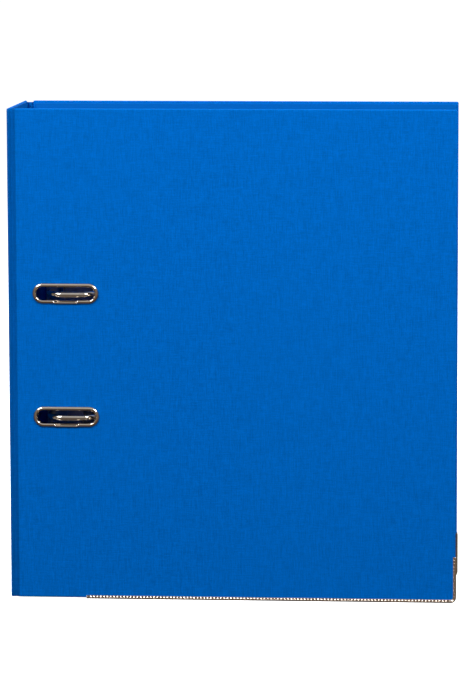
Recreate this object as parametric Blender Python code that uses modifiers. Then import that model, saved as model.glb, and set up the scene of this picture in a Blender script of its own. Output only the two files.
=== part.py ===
"""Lever arch file for A4 paper, standing upright and closed.

X runs across the covers from the spine to the free edge, Y from the front cover to the back
cover, and Z up.  The origin is at the centre of the footprint.  Units are metres.
"""

import math

import bmesh
import bpy
from mathutils import Matrix, Vector

# ---------------------------------------------------------------- driving dimensions

HEIGHT = 0.318                 # A4 sheet of 297 mm plus a margin at both ends
WIDTH = 0.288                  # outer face of the spine to the free edge of a cover
DEPTH = 0.080                  # outer face of the front cover to that of the back cover
GAP = 0.0003                   # air left between pieces that touch

BOARD_T = 0.0020               # board with its glued cloth
LINING_T = 0.0004              # paper glued inside a board
LINING_INSET = 0.0030          # border of turned-in cloth round a lining
WALL_T = BOARD_T + GAP + LINING_T
FRONT_HINGE_W = 0.0048         # cloth hinge between spine and front cover
BACK_HINGE_W = 0.0060          # cloth hinge between spine and back cover
HINGE_CLOTH_T = 0.0005
FREE_CORNER_R = 0.0030         # lower corner at the free edge of a cover

PROTECTOR_T = 0.00035          # sheet metal of an edge protector
PROTECTOR_GAP = 0.00025
PROTECTOR_LIP = 0.0024         # height of its lips, outside measure
PROTECTOR_START = 0.0494       # from the spine's outer face
PROTECTOR_LEG = 0.0300         # leg up the free edge
STAND = PROTECTOR_T + PROTECTOR_GAP

RING_PITCH = 0.080             # ISO 838 hole spacing
ARCH_MID_Z = 0.158
SLOT_MID_Z = 0.159
SLOT_X = 0.0372                # slot centre from the spine's outer face
SLOT_HALF_STRAIGHT = 0.0147
SLOT_R = 0.00425               # half the clear height of a slot
EYELET_WALL = 0.0006
EYELET_RIM_R = 0.0067
EYELET_RIM_STAND = 0.0012
EYELET_FLANGE_R = 0.0062
EYELET_FLANGE_T = 0.0005

FINGER_HOLE_R = 0.0120
FINGER_HOLE_Z = 0.072
FINGER_RIM_R = 0.0155
FINGER_RIM_STAND = 0.0010
LABEL_WIDTH = 0.061
LABEL_HEIGHT = 0.192
LABEL_BOTTOM_Z = 0.108
LABEL_T = 0.0003

PLATE_T = 0.0012               # base plate of the mechanism
PLATE_LEFT = 0.014             # its left edge from the spine's outer face
PLATE_WIDTH = 0.052
PLATE_LENGTH = 0.156
PLATE_CORNER_R = 0.006
RIVET_SHANK_R = 0.0020
RIVET_HEAD_R = 0.0045
RIVET_HEAD_T = 0.0012
RIVET_INNER_R = 0.0035
RIVET_INNER_T = 0.0008
RIVET_EDGE_X = 0.006           # rivet centre from the plate's long edge
RIVET_EDGE_Z = 0.008           # rivet centre from the plate's short edge

WIRE_R = 0.0019                # arch wire
SHAFT_X = 0.0252               # arch pivot from the spine's outer face
SHAFT_H = 0.0058               # arch pivot above the back lining
LEG_SPACING = 0.0304           # between the two legs of an arch
ARCH_R = 0.0100                # bends beside the crown of each arch
CROWN_H = 0.0749               # wire centre at the crown, above the back lining
TIP_H = 0.0590                 # free ends of the arches
CRANK_ARM = 0.0100
CRANK_LOW_Z = 0.143
CRANK_HIGH_Z = 0.177

POST_R = 0.0021
POST_COLLAR_R = 0.0035
POST_COLLAR_T = 0.0015
POST_TOP_H = TIP_H - 0.0005

PIVOT_Z = 0.163                # lever pivot
PIVOT_H = 0.0174
PIVOT_PIN_R = 0.0015
LEVER_X = 0.0347               # lever centre line from the spine's outer face
LEVER_WIDTH = 0.0114
LEVER_SHEET = 0.0012
LEVER_HALF_H = 0.0048
LEVER_LENGTH = 0.080           # pivot to the foot of the grip
GRIP_RISE = 0.0085
GRIP_REACH = 0.0095
GRIP_T = 0.0014
LEVER_FALL = 0.0025             # the lever's back slopes down to the grip
ROLLER_R = 0.0036
ROLLER_WIDTH = 0.0082
ROLLER_PIN_R = 0.0013
ROLLER_ARM = 0.0084            # pivot to roller
ROLLER_ANGLE = math.radians(44.6)  # roller below the lever's line
BRACKET_SHEET = 0.0012
BRACKET_HALF_Z = 0.0060

BAR_WIDTH = 0.014              # compressor bar
BAR_HEIGHT = 0.0060
BAR_LENGTH = 0.104
BAR_SHEET = 0.0012
BAR_BOTTOM_H = 0.0036
CLIP_LENGTH = 0.040

HINGE_PIN_SEGMENTS = 24

# ---------------------------------------------------------------- derived places

SPINE_X = -(WIDTH + STAND - FINGER_RIM_STAND) / 2
FRONT_Y = -DEPTH / 2
BACK_Y = DEPTH / 2
POST_X = SHAFT_X + LEG_SPACING
PLATE_TOP_H = GAP + PLATE_T
RING_HEIGHTS = (ARCH_MID_Z - RING_PITCH / 2, ARCH_MID_Z + RING_PITCH / 2)
RING_NAMES = ("lower", "upper")

FACE_Y = (math.radians(90), 0, 0)                   # outline in XZ, thickness along Y
FACE_X = (math.radians(90), 0, math.radians(90))    # outline in YZ, thickness along X
FACE_Z = (0, 0, 0)                                  # outline in XY, thickness along Z


def x_at(distance):
    """World X at a distance from the spine's outer face."""
    return SPINE_X + distance


def y_at(height):
    """World Y at a height above the back cover's lining, towards the front cover."""
    return BACK_Y - WALL_T - height


# ---------------------------------------------------------------- scene and materials

def clear_scene():
    for old in list(bpy.data.objects):
        bpy.data.objects.remove(old, do_unlink=True)


def new_collection(name):
    collection = bpy.data.collections.new(name)
    bpy.context.scene.collection.children.link(collection)
    return collection


def material(name, colour, roughness, metallic):
    made = bpy.data.materials.new(name)
    made.use_nodes = True
    shader = made.node_tree.nodes["Principled BSDF"]
    shader.inputs["Base Color"].default_value = (*colour, 1.0)
    shader.inputs["Roughness"].default_value = roughness
    shader.inputs["Metallic"].default_value = metallic
    made.diffuse_color = (*colour, 1.0)
    return made


clear_scene()
PARTS = new_collection("lever_arch_file")
CUTTERS = new_collection("cutters")

CLOTH_BLUE = ((0.0, 0.120, 0.520), 0.62, 0.0)
HINGE_BLUE = ((0.0, 0.070, 0.330), 0.65, 0.0)
LINING_BLUE = ((0.0, 0.110, 0.480), 0.55, 0.0)
NICKEL = ((0.62, 0.58, 0.53), 0.22, 1.0)
BRIGHT_STEEL = ((0.70, 0.70, 0.70), 0.25, 1.0)
SPRING_STEEL = ((0.35, 0.35, 0.37), 0.35, 1.0)
CARD_WHITE = ((0.85, 0.85, 0.82), 0.70, 0.0)


def finish(obj, look, smooth_angle=40):
    """Give a part its own material, smooth its round faces and file it with the parts."""
    for owner in list(obj.users_collection):
        owner.objects.unlink(obj)
    PARTS.objects.link(obj)
    obj.data.materials.clear()
    obj.data.materials.append(material(obj.name, *look))
    obj.data.shade_smooth()
    obj.data.set_sharp_from_angle(angle=math.radians(smooth_angle))
    return obj


def as_cutter(obj):
    for owner in list(obj.users_collection):
        owner.objects.unlink(obj)
    CUTTERS.objects.link(obj)
    obj.hide_render = True
    obj.display_type = "WIRE"
    return obj


# ---------------------------------------------------------------- modelling helpers

def rounded(corners, closed=True, steps=5):
    """Points through the corners (position, radius), with an arc at each corner."""
    count = len(corners)
    points = []
    for index, (corner, radius) in enumerate(corners):
        corner = Vector(corner)
        is_end = not closed and index in (0, count - 1)
        if is_end or radius == 0:
            points.append(corner)
            continue
        before = (Vector(corners[index - 1][0]) - corner).normalized()
        after = (Vector(corners[(index + 1) % count][0]) - corner).normalized()
        half = before.angle(after) / 2
        centre = corner + (before + after).normalized() * radius / math.sin(half)
        start = (corner + before * radius / math.tan(half) - centre).normalized()
        stop = (corner + after * radius / math.tan(half) - centre).normalized()
        arc_steps = max(2, round(steps * (math.pi - 2 * half) / (math.pi / 2)))
        for step in range(arc_steps + 1):
            points.append(centre + radius * start.slerp(stop, step / arc_steps))
    return points


def curve_mesh(name, data, rotation=(0, 0, 0), location=(0, 0, 0)):
    """A curve turned into a closed mesh object in the same place."""
    source = bpy.data.objects.new(name + "_curve", data)
    source.rotation_euler = rotation
    source.location = location
    bpy.context.scene.collection.objects.link(source)
    bpy.context.view_layer.update()
    evaluated = source.evaluated_get(bpy.context.evaluated_depsgraph_get())
    mesh = bpy.data.meshes.new_from_object(evaluated)
    mesh.name = name
    work = bmesh.new()
    work.from_mesh(mesh)
    bmesh.ops.remove_doubles(work, verts=work.verts, dist=0.00001)
    bmesh.ops.recalc_face_normals(work, faces=work.faces)
    work.to_mesh(mesh)
    work.free()
    made = bpy.data.objects.new(name, mesh)
    made.matrix_world = source.matrix_world.copy()
    bpy.data.objects.remove(source, do_unlink=True)
    bpy.context.scene.collection.objects.link(made)
    return made


def slab(name, outline, low, high, facing):
    """A flat outline given a thickness from low to high along the axis that it faces."""
    data = bpy.data.curves.new(name, "CURVE")
    data.dimensions = "2D"
    data.fill_mode = "BOTH"
    data.extrude = (high - low) / 2
    spline = data.splines.new("POLY")
    spline.points.add(len(outline) - 1)
    for point, place in zip(spline.points, outline):
        point.co = (place[0], place[1], 0, 1)
    spline.use_cyclic_u = True
    middle = (low + high) / 2
    location = {FACE_Y: (0, middle, 0), FACE_X: (middle, 0, 0), FACE_Z: (0, 0, middle)}
    return curve_mesh(name, data, facing, location[facing])


def wire(name, points, radius, resolution=2):
    """A round wire along a list of points, with closed ends."""
    data = bpy.data.curves.new(name, "CURVE")
    data.dimensions = "3D"
    data.bevel_depth = radius
    data.bevel_resolution = resolution
    data.use_fill_caps = True
    spline = data.splines.new("POLY")
    spline.points.add(len(points) - 1)
    for point, place in zip(spline.points, points):
        point.co = (*place, 1)
    return curve_mesh(name, data)


def box(name, low, high):
    """An upright box between two corners."""
    low = Vector(low)
    high = Vector(high)
    mesh = bpy.data.meshes.new(name)
    work = bmesh.new()
    bmesh.ops.create_cube(work, size=1.0)
    size = Matrix.Diagonal((*(high - low), 1.0))
    bmesh.ops.transform(work, matrix=Matrix.Translation((low + high) / 2) @ size, verts=work.verts)
    work.to_mesh(mesh)
    work.free()
    made = bpy.data.objects.new(name, mesh)
    bpy.context.scene.collection.objects.link(made)
    return made


AXIS_TURN = {
    "X": Matrix.Rotation(math.radians(90), 4, "Y"),
    "Y": Matrix.Rotation(math.radians(-90), 4, "X"),
    "Z": Matrix.Identity(4),
}


def rod(name, axis, start, stop, across, radius, segments=HINGE_PIN_SEGMENTS):
    """A cylinder along an axis from start to stop; across holds its other two coordinates."""
    centre = list(across)
    centre.insert("XYZ".index(axis), (start + stop) / 2)
    mesh = bpy.data.meshes.new(name)
    work = bmesh.new()
    bmesh.ops.create_cone(work, cap_ends=True, segments=segments, radius1=radius,
                          radius2=radius, depth=stop - start)
    place = Matrix.Translation(centre) @ AXIS_TURN[axis]
    bmesh.ops.transform(work, matrix=place, verts=work.verts)
    work.to_mesh(mesh)
    work.free()
    made = bpy.data.objects.new(name, mesh)
    bpy.context.scene.collection.objects.link(made)
    return made


def turned(name, profile, axis, centre, steps=HINGE_PIN_SEGMENTS):
    """A profile of (radius, place along the axis), listed top to bottom, turned full circle."""
    mesh = bpy.data.meshes.new(name)
    points = [(radius, 0, along) for radius, along in profile]
    edges = [(index, index + 1) for index in range(len(points) - 1)]
    closed_loop = profile[0][0] > 0
    if closed_loop:
        edges.append((len(points) - 1, 0))
    mesh.from_pydata(points, edges, [])
    made = bpy.data.objects.new(name, mesh)
    bpy.context.scene.collection.objects.link(made)
    screw = made.modifiers.new("turn", "SCREW")
    screw.axis = "Z"
    screw.steps = steps
    screw.render_steps = steps
    screw.use_merge_vertices = True
    screw.merge_threshold = 0.00001
    screw.use_smooth_shade = True
    made.matrix_world = Matrix.Translation(centre) @ AXIS_TURN[axis]
    return made


def soften(obj, width, segments=2, angle=50):
    """Round the sharp edges of a part."""
    bevel = obj.modifiers.new("soften", "BEVEL")
    bevel.width = width
    bevel.segments = segments
    bevel.limit_method = "ANGLE"
    bevel.angle_limit = math.radians(angle)


def boolean(obj, tool, operation):
    step = obj.modifiers.new(operation.lower(), "BOOLEAN")
    step.operation = operation
    step.object = as_cutter(tool)


def cut(obj, *tools):
    for tool in tools:
        boolean(obj, tool, "DIFFERENCE")


def add(obj, *tools):
    for tool in tools:
        boolean(obj, tool, "UNION")


def stadium(centre_x, centre_z, radius, half_straight=SLOT_HALF_STRAIGHT, steps=10):
    """Outline of a slot with round ends."""
    points = []
    for side in (1, -1):
        for step in range(steps + 1):
            angle = side * math.pi / 2 - side * math.pi * step / steps
            if side < 0:
                angle = -math.pi / 2 - math.pi * step / steps
            points.append((centre_x + side * half_straight + radius * math.cos(angle),
                           centre_z + radius * math.sin(angle)))
    return points


# ---------------------------------------------------------------- the case

def cover_outline(left, inset=0.0, lower_corner=FREE_CORNER_R):
    """Outline of a cover from a left edge to the free edge, with a round lower free corner."""
    right = x_at(WIDTH) - inset
    bottom = STAND + inset
    top = HEIGHT - inset
    corners = [
        ((left, bottom, 0), 0),
        ((right, bottom, 0), lower_corner),
        ((right, top, 0), 0.0008),
        ((left, top, 0), 0),
    ]
    return rounded(corners)


def slot_cutters(label):
    """Cutters for the two slots of the front cover, with room for the eyelets."""
    tools = []
    for ring in (-1, 1):
        outline = stadium(x_at(SLOT_X), SLOT_MID_Z + ring * RING_PITCH / 2,
                          SLOT_R + EYELET_WALL + GAP)
        tools.append(slab(f"{label}_slot_cutter", outline,
                          FRONT_Y - WALL_T, FRONT_Y + 2 * WALL_T, FACE_Y))
    return tools


def rivet_places():
    """X and Z of the four rivets that hold the base plate."""
    low_z = ARCH_MID_Z - PLATE_LENGTH / 2 + RIVET_EDGE_Z
    high_z = ARCH_MID_Z + PLATE_LENGTH / 2 - RIVET_EDGE_Z
    near_x = x_at(PLATE_LEFT + RIVET_EDGE_X)
    far_x = x_at(PLATE_LEFT + PLATE_WIDTH - RIVET_EDGE_X)
    return [(near_x, low_z), (far_x, low_z), (near_x, high_z), (far_x, high_z)]


def rivet_cutters(label):
    return [rod(f"{label}_rivet_cutter", "Y", BACK_Y - 3 * WALL_T, BACK_Y + WALL_T, place,
                RIVET_SHANK_R + GAP) for place in rivet_places()]


def front_board():
    board = slab("front_board", cover_outline(x_at(FRONT_HINGE_W)),
                 FRONT_Y, FRONT_Y + BOARD_T, FACE_Y)
    soften(board, 0.0004)
    cut(board, *slot_cutters("front_board"))
    return finish(board, CLOTH_BLUE)


def front_lining():
    left = x_at(FRONT_HINGE_W) + LINING_INSET
    lining = slab("front_lining", cover_outline(left, LINING_INSET, 0.001),
                  FRONT_Y + BOARD_T + GAP, FRONT_Y + WALL_T, FACE_Y)
    cut(lining, *slot_cutters("front_lining"))
    return finish(lining, LINING_BLUE)


def back_board():
    board = slab("back_board", cover_outline(x_at(BACK_HINGE_W)),
                 BACK_Y - BOARD_T, BACK_Y, FACE_Y)
    soften(board, 0.0004)
    cut(board, *rivet_cutters("back_board"))
    return finish(board, CLOTH_BLUE)


def back_lining():
    left = x_at(BACK_HINGE_W) + LINING_INSET
    lining = slab("back_lining", cover_outline(left, LINING_INSET, 0.001),
                  BACK_Y - WALL_T, BACK_Y - BOARD_T - GAP, FACE_Y)
    cut(lining, *rivet_cutters("back_lining"))
    return finish(lining, LINING_BLUE)


def finger_cutter(label):
    return rod(f"{label}_finger_cutter", "X", x_at(-WALL_T), x_at(2 * WALL_T),
               (0, FINGER_HOLE_Z), FINGER_HOLE_R + EYELET_WALL + GAP, 40)


def spine_board():
    edge = HINGE_CLOTH_T + GAP + 0.0001
    board = box("spine_board", (x_at(0), FRONT_Y + edge, STAND),
                (x_at(BOARD_T), BACK_Y - edge, HEIGHT))
    soften(board, 0.0004)
    cut(board, finger_cutter("spine_board"))
    return finish(board, CLOTH_BLUE)


def spine_lining():
    lining = box("spine_lining",
                 (x_at(BOARD_T + GAP), FRONT_Y + LINING_INSET + WALL_T, STAND + LINING_INSET),
                 (x_at(WALL_T), BACK_Y - LINING_INSET - WALL_T, HEIGHT - LINING_INSET))
    cut(lining, finger_cutter("spine_lining"))
    return finish(lining, LINING_BLUE)


def hinge_strip(name, outer_y, inward, width):
    """Cloth that closes the gap between the spine and a cover; inward is +1 or -1 along Y."""
    faces = sorted((outer_y + inward * 0.0001, outer_y + inward * (0.0001 + HINGE_CLOTH_T)))
    strip = box(name, (x_at(GAP), faces[0], STAND), (x_at(width - GAP), faces[1], HEIGHT - 0.001))
    return finish(strip, HINGE_BLUE)


def edge_protector(name, outer_y, inward):
    """Sheet metal channel along the lower edge, round the corner and up the free edge."""
    right = x_at(WIDTH) + STAND
    left = x_at(PROTECTOR_START)
    lip = PROTECTOR_LIP
    outer_r = FREE_CORNER_R + STAND
    corners = [
        ((left, 0, 0), 0),
        ((right, 0, 0), outer_r),
        ((right, PROTECTOR_LEG, 0), 0),
        ((right - lip, PROTECTOR_LEG, 0), 0),
        ((right - lip, lip, 0), outer_r - lip + 0.0006),
        ((left, lip, 0), 0),
    ]
    faces = sorted((outer_y - inward * STAND, outer_y + inward * (BOARD_T + STAND)))
    metal = slab(name, rounded(corners), faces[0], faces[1], FACE_Y)
    wide = PROTECTOR_GAP
    groove_outline = rounded([
        ((left - 0.01, STAND - wide, 0), 0),
        ((x_at(WIDTH) + wide, STAND - wide, 0), FREE_CORNER_R + wide),
        ((x_at(WIDTH) + wide, PROTECTOR_LEG + 0.01, 0), 0),
        ((left - 0.01, PROTECTOR_LEG + 0.01, 0), 0),
    ])
    cut(metal, slab(f"{name}_groove_cutter", groove_outline,
                    faces[0] + PROTECTOR_T, faces[1] - PROTECTOR_T, FACE_Y))
    return finish(metal, NICKEL)


def eyelet(name, centre_z):
    """Slot eyelet: a rim outside the cover, a wall through it and a flange turned over inside."""
    centre_x = x_at(SLOT_X)
    inside = FRONT_Y + WALL_T
    rim = slab(name, stadium(centre_x, centre_z, EYELET_RIM_R),
               FRONT_Y - EYELET_RIM_STAND, FRONT_Y - GAP, FACE_Y)
    soften(rim, 0.0004)
    wall = slab(f"{name}_wall", stadium(centre_x, centre_z, SLOT_R + EYELET_WALL),
                FRONT_Y - 2 * GAP, inside + 2 * GAP, FACE_Y)
    flange = slab(f"{name}_flange", stadium(centre_x, centre_z, EYELET_FLANGE_R),
                  inside + GAP, inside + GAP + EYELET_FLANGE_T, FACE_Y)
    hole = slab(f"{name}_hole", stadium(centre_x, centre_z, SLOT_R),
                FRONT_Y - 0.005, inside + 0.005, FACE_Y)
    add(rim, wall, flange)
    cut(rim, hole)
    return finish(rim, NICKEL)


def finger_ring():
    """Finger ring: a rounded rim outside the spine and a wall through it."""
    rim_in = -GAP
    rim_out = -FINGER_RIM_STAND
    wall_r = FINGER_HOLE_R + EYELET_WALL
    profile = [
        (wall_r, WALL_T + GAP),
        (wall_r, rim_in),
        (FINGER_RIM_R, rim_in),
        (FINGER_RIM_R - 0.0002, rim_out + 0.0003),
        (FINGER_RIM_R - 0.0008, rim_out),
        (FINGER_HOLE_R + 0.0006, rim_out),
        (FINGER_HOLE_R, rim_out + 0.0005),
        (FINGER_HOLE_R, WALL_T + GAP),
    ]
    ring = turned("finger_ring", profile, "X", (SPINE_X, 0, FINGER_HOLE_Z), 40)
    return finish(ring, NICKEL)


def finger_ring_washer():
    """Washer under the ring's turned end, inside the spine."""
    inner_r = FINGER_HOLE_R + EYELET_WALL + GAP
    low = WALL_T + GAP
    profile = [
        (FINGER_RIM_R - 0.0005, low + 0.0005),
        (FINGER_RIM_R - 0.0005, low),
        (inner_r, low),
        (inner_r, low + 0.0005),
    ]
    washer = turned("finger_ring_washer", profile, "X", (SPINE_X, 0, FINGER_HOLE_Z), 40)
    return finish(washer, NICKEL)


def spine_label():
    label = box("spine_label", (x_at(-GAP - LABEL_T), -LABEL_WIDTH / 2, LABEL_BOTTOM_Z),
                (x_at(-GAP), LABEL_WIDTH / 2, LABEL_BOTTOM_Z + LABEL_HEIGHT))
    return finish(label, CARD_WHITE)


# ---------------------------------------------------------------- the mechanism

def base_plate():
    low_z = ARCH_MID_Z - PLATE_LENGTH / 2
    high_z = ARCH_MID_Z + PLATE_LENGTH / 2
    left = x_at(PLATE_LEFT)
    right = x_at(PLATE_LEFT + PLATE_WIDTH)
    outline = rounded([((x, z, 0), PLATE_CORNER_R) for x, z in
                       ((left, low_z), (right, low_z), (right, high_z), (left, high_z))])
    plate = slab("base_plate", outline, y_at(PLATE_TOP_H), y_at(GAP), FACE_Y)
    cut(plate, *rivet_cutters("base_plate"))
    return finish(plate, BRIGHT_STEEL)


def rivet(name, place):
    """Rivet with a low dome outside the back cover and a turned-over end on the base plate."""
    inner = PLATE_TOP_H + GAP
    inner_y = y_at(inner) - BACK_Y
    profile = [
        (0, RIVET_HEAD_T),
        (RIVET_HEAD_R * 0.55, RIVET_HEAD_T * 0.92),
        (RIVET_HEAD_R * 0.88, RIVET_HEAD_T * 0.68),
        (RIVET_HEAD_R, GAP + 0.0002),
        (RIVET_HEAD_R, GAP),
        (RIVET_SHANK_R, GAP),
        (RIVET_SHANK_R, inner_y),
        (RIVET_INNER_R, inner_y),
        (RIVET_INNER_R, inner_y - RIVET_INNER_T * 0.5),
        (RIVET_INNER_R * 0.8, inner_y - RIVET_INNER_T),
        (0, inner_y - RIVET_INNER_T),
    ]
    made = turned(name, profile, "Y", (place[0], BACK_Y, place[1]), 16)
    return finish(made, BRIGHT_STEEL)


def post(name, centre_z):
    """Fixed post with a collar on the base plate and a tapered top under the arch's end."""
    foot = PLATE_TOP_H + GAP
    profile = [
        (0, POST_TOP_H),
        (POST_R * 0.62, POST_TOP_H),
        (POST_R, POST_TOP_H - 0.0014),
        (POST_R, foot + POST_COLLAR_T),
        (POST_COLLAR_R, foot + POST_COLLAR_T),
        (POST_COLLAR_R, foot),
        (0, foot),
    ]
    flipped = [(radius, -along) for radius, along in reversed(profile)]
    made = turned(name, flipped, "Y", (x_at(POST_X), y_at(0), centre_z), 16)
    return finish(made, BRIGHT_STEEL)


def arch_wire():
    """Both arches, the shaft between them and its crank, bent from one wire."""
    low_z, high_z = RING_HEIGHTS
    crank_x = SHAFT_X + CRANK_ARM
    bend = 0.0050
    crank_bend = 0.0035
    route = [
        (POST_X, TIP_H, high_z, 0),
        (POST_X, CROWN_H, high_z, ARCH_R),
        (SHAFT_X, CROWN_H, high_z, ARCH_R),
        (SHAFT_X, SHAFT_H, high_z, bend),
        (SHAFT_X, SHAFT_H, CRANK_HIGH_Z, crank_bend),
        (crank_x, SHAFT_H, CRANK_HIGH_Z, crank_bend),
        (crank_x, SHAFT_H, CRANK_LOW_Z, crank_bend),
        (SHAFT_X, SHAFT_H, CRANK_LOW_Z, crank_bend),
        (SHAFT_X, SHAFT_H, low_z, bend),
        (SHAFT_X, CROWN_H, low_z, ARCH_R),
        (POST_X, CROWN_H, low_z, ARCH_R),
        (POST_X, TIP_H, low_z, 0),
    ]
    corners = [((x_at(x), y_at(h), z), radius) for x, h, z, radius in route]
    points = rounded(corners, closed=False, steps=6)
    return finish(wire("arch_wire", points, WIRE_R), BRIGHT_STEEL)


def shaft_saddle(name, low_z, high_z):
    """Pressed saddle that holds the shaft of the arches down on the base plate."""
    foot = PLATE_TOP_H + GAP
    bore_r = WIRE_R + 0.00035
    shell_r = bore_r + 0.0010
    sole = box(name, (x_at(SHAFT_X - 0.0075), y_at(foot + 0.0010), low_z),
               (x_at(SHAFT_X + 0.0075), y_at(foot), high_z))
    cheeks = box(f"{name}_cheeks", (x_at(SHAFT_X) - shell_r, y_at(SHAFT_H), low_z),
                 (x_at(SHAFT_X) + shell_r, y_at(foot + 0.0002), high_z))
    hump = rod(f"{name}_hump", "Z", low_z, high_z, (x_at(SHAFT_X), y_at(SHAFT_H)), shell_r)
    bore = rod(f"{name}_bore", "Z", low_z - 0.002, high_z + 0.002,
               (x_at(SHAFT_X), y_at(SHAFT_H)), bore_r)
    add(sole, cheeks, hump)
    cut(sole, bore)
    return finish(sole, BRIGHT_STEEL)


def arch_spring():
    """Coil round the shaft: one leg lies on the base plate, the other under the crank."""
    wire_r = 0.0005
    coil_r = 0.0030
    turns = 4.0
    pitch = 0.0013
    steps = 12
    start_z = 0.1340
    points = [Vector((x_at(SHAFT_X - 0.009), y_at(SHAFT_H - coil_r), start_z))]
    for step in range(int(turns * steps) + 1):
        angle = -math.pi / 2 + 2 * math.pi * step / steps
        points.append(Vector((
            x_at(SHAFT_X) + coil_r * math.cos(angle),
            y_at(SHAFT_H + coil_r * math.sin(angle)),
            start_z + pitch * step / steps,
        )))
    end_z = start_z + pitch * turns
    points.append(Vector((x_at(SHAFT_X + 0.0040), y_at(SHAFT_H - coil_r), end_z)))
    points.append(Vector((x_at(SHAFT_X + 0.0060), y_at(SHAFT_H - coil_r), end_z + 0.0015)))
    points.append(Vector((x_at(SHAFT_X + 0.0065), y_at(SHAFT_H - coil_r), CRANK_LOW_Z)))
    return finish(wire("arch_spring", points, wire_r, 1), SPRING_STEEL)


def lever_bracket():
    """U-shaped bracket on the base plate that carries the lever's pivot."""
    foot = PLATE_TOP_H + GAP
    half = LEVER_WIDTH / 2 + GAP + BRACKET_SHEET
    top = PIVOT_H + 0.0036
    low_z = PIVOT_Z - BRACKET_HALF_Z
    high_z = PIVOT_Z + BRACKET_HALF_Z
    outline = rounded([
        ((y_at(foot), low_z, 0), 0),
        ((y_at(foot), high_z, 0), 0),
        ((y_at(top), high_z - 0.002, 0), 0.0030),
        ((y_at(top), low_z + 0.002, 0), 0.0030),
    ])
    bracket = slab("lever_bracket", outline, x_at(LEVER_X - half), x_at(LEVER_X + half), FACE_X)
    inner = half - BRACKET_SHEET
    throat = box("bracket_throat", (x_at(LEVER_X - inner), y_at(top + 0.01), low_z - 0.01),
                 (x_at(LEVER_X + inner), y_at(foot + 0.0010), high_z + 0.01))
    bore = rod("bracket_bore", "X", x_at(LEVER_X - 0.02), x_at(LEVER_X + 0.02),
               (y_at(PIVOT_H), PIVOT_Z), PIVOT_PIN_R + GAP)
    cut(bracket, throat, bore)
    return finish(bracket, BRIGHT_STEEL)


def roller_place():
    """Y and Z of the roller's axis."""
    height = PIVOT_H - ROLLER_ARM * math.sin(ROLLER_ANGLE)
    return (y_at(height), PIVOT_Z - ROLLER_ARM * math.cos(ROLLER_ANGLE))


def lever():
    """Operating lever: a U-shaped pressing with a curled finger grip at its lower end."""
    top = PIVOT_H + LEVER_HALF_H
    bottom = PIVOT_H - LEVER_HALF_H
    lobe = PIVOT_H - 0.0072
    rear_z = PIVOT_Z + LEVER_HALF_H
    lobe_z = roller_place()[1] - 0.0036
    foot_z = PIVOT_Z - LEVER_LENGTH
    low = top - LEVER_FALL
    side = [
        (top, rear_z, 0.0046),
        (bottom, rear_z, 0.0030),
        (lobe, lobe_z + 0.0052, 0.0020),
        (lobe, lobe_z, 0.0020),
        (bottom, lobe_z - 0.0050, 0.0020),
        (bottom + 0.0012, foot_z + 0.004, 0.0020),
        (low - GRIP_T, foot_z, 0.0020),
        (low - GRIP_T + GRIP_RISE * 0.35, foot_z - GRIP_REACH * 0.7, 0.0030),
        (low + GRIP_RISE, foot_z - GRIP_REACH, 0),
        (low + GRIP_RISE, foot_z - GRIP_REACH + GRIP_T, 0),
        (low + GRIP_RISE * 0.38, foot_z - GRIP_REACH * 0.55, 0.0030),
        (low, foot_z + 0.001, 0.0030),
    ]
    outline = rounded([((y_at(h), z, 0), radius) for h, z, radius in side], steps=4)
    half = LEVER_WIDTH / 2
    body = slab("lever", outline, x_at(LEVER_X - half), x_at(LEVER_X + half), FACE_X)
    inner = half - LEVER_SHEET
    hollow_side = [
        (y_at(top - LEVER_SHEET), rear_z + 0.005),
        (y_at(low - LEVER_SHEET), foot_z + 0.004),
        (y_at(lobe - 0.005), foot_z + 0.004),
        (y_at(lobe - 0.005), rear_z + 0.005),
    ]
    hollow = slab("lever_hollow", hollow_side, x_at(LEVER_X - inner), x_at(LEVER_X + inner),
                  FACE_X)
    reach = (x_at(LEVER_X - 0.02), x_at(LEVER_X + 0.02))
    pivot_bore = rod("lever_pivot_bore", "X", *reach, (y_at(PIVOT_H), PIVOT_Z),
                     PIVOT_PIN_R + GAP)
    roller_bore = rod("lever_roller_bore", "X", *reach, roller_place(), ROLLER_PIN_R + GAP)
    cut(body, hollow, pivot_bore, roller_bore)
    return finish(body, BRIGHT_STEEL)


def lever_pin():
    """Pivot pin with a flat head outside each cheek of the bracket."""
    half = LEVER_WIDTH / 2 + GAP + BRACKET_SHEET + GAP
    head_r = PIVOT_PIN_R + 0.0011
    head_t = 0.0007
    profile = [
        (0, half + head_t),
        (head_r, half + head_t),
        (head_r, half),
        (PIVOT_PIN_R, half),
        (PIVOT_PIN_R, -half),
        (head_r, -half),
        (head_r, -half - head_t),
        (0, -half - head_t),
    ]
    pin = turned("lever_pin", profile, "X", (x_at(LEVER_X), y_at(PIVOT_H), PIVOT_Z), 16)
    return finish(pin, BRIGHT_STEEL)


def roller_pin():
    half = LEVER_WIDTH / 2
    pin = rod("roller_pin", "X", x_at(LEVER_X - half), x_at(LEVER_X + half), roller_place(),
              ROLLER_PIN_R, 16)
    return finish(pin, BRIGHT_STEEL)


def pressure_roller():
    """Roller on the lever that presses the crank of the arches down."""
    half = ROLLER_WIDTH / 2
    bore_r = ROLLER_PIN_R + GAP
    profile = [
        (bore_r, half),
        (ROLLER_R, half),
        (ROLLER_R, -half),
        (bore_r, -half),
    ]
    roller = turned("pressure_roller", profile, "X", (x_at(LEVER_X), *roller_place()), 20)
    return finish(roller, BRIGHT_STEEL)


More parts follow.
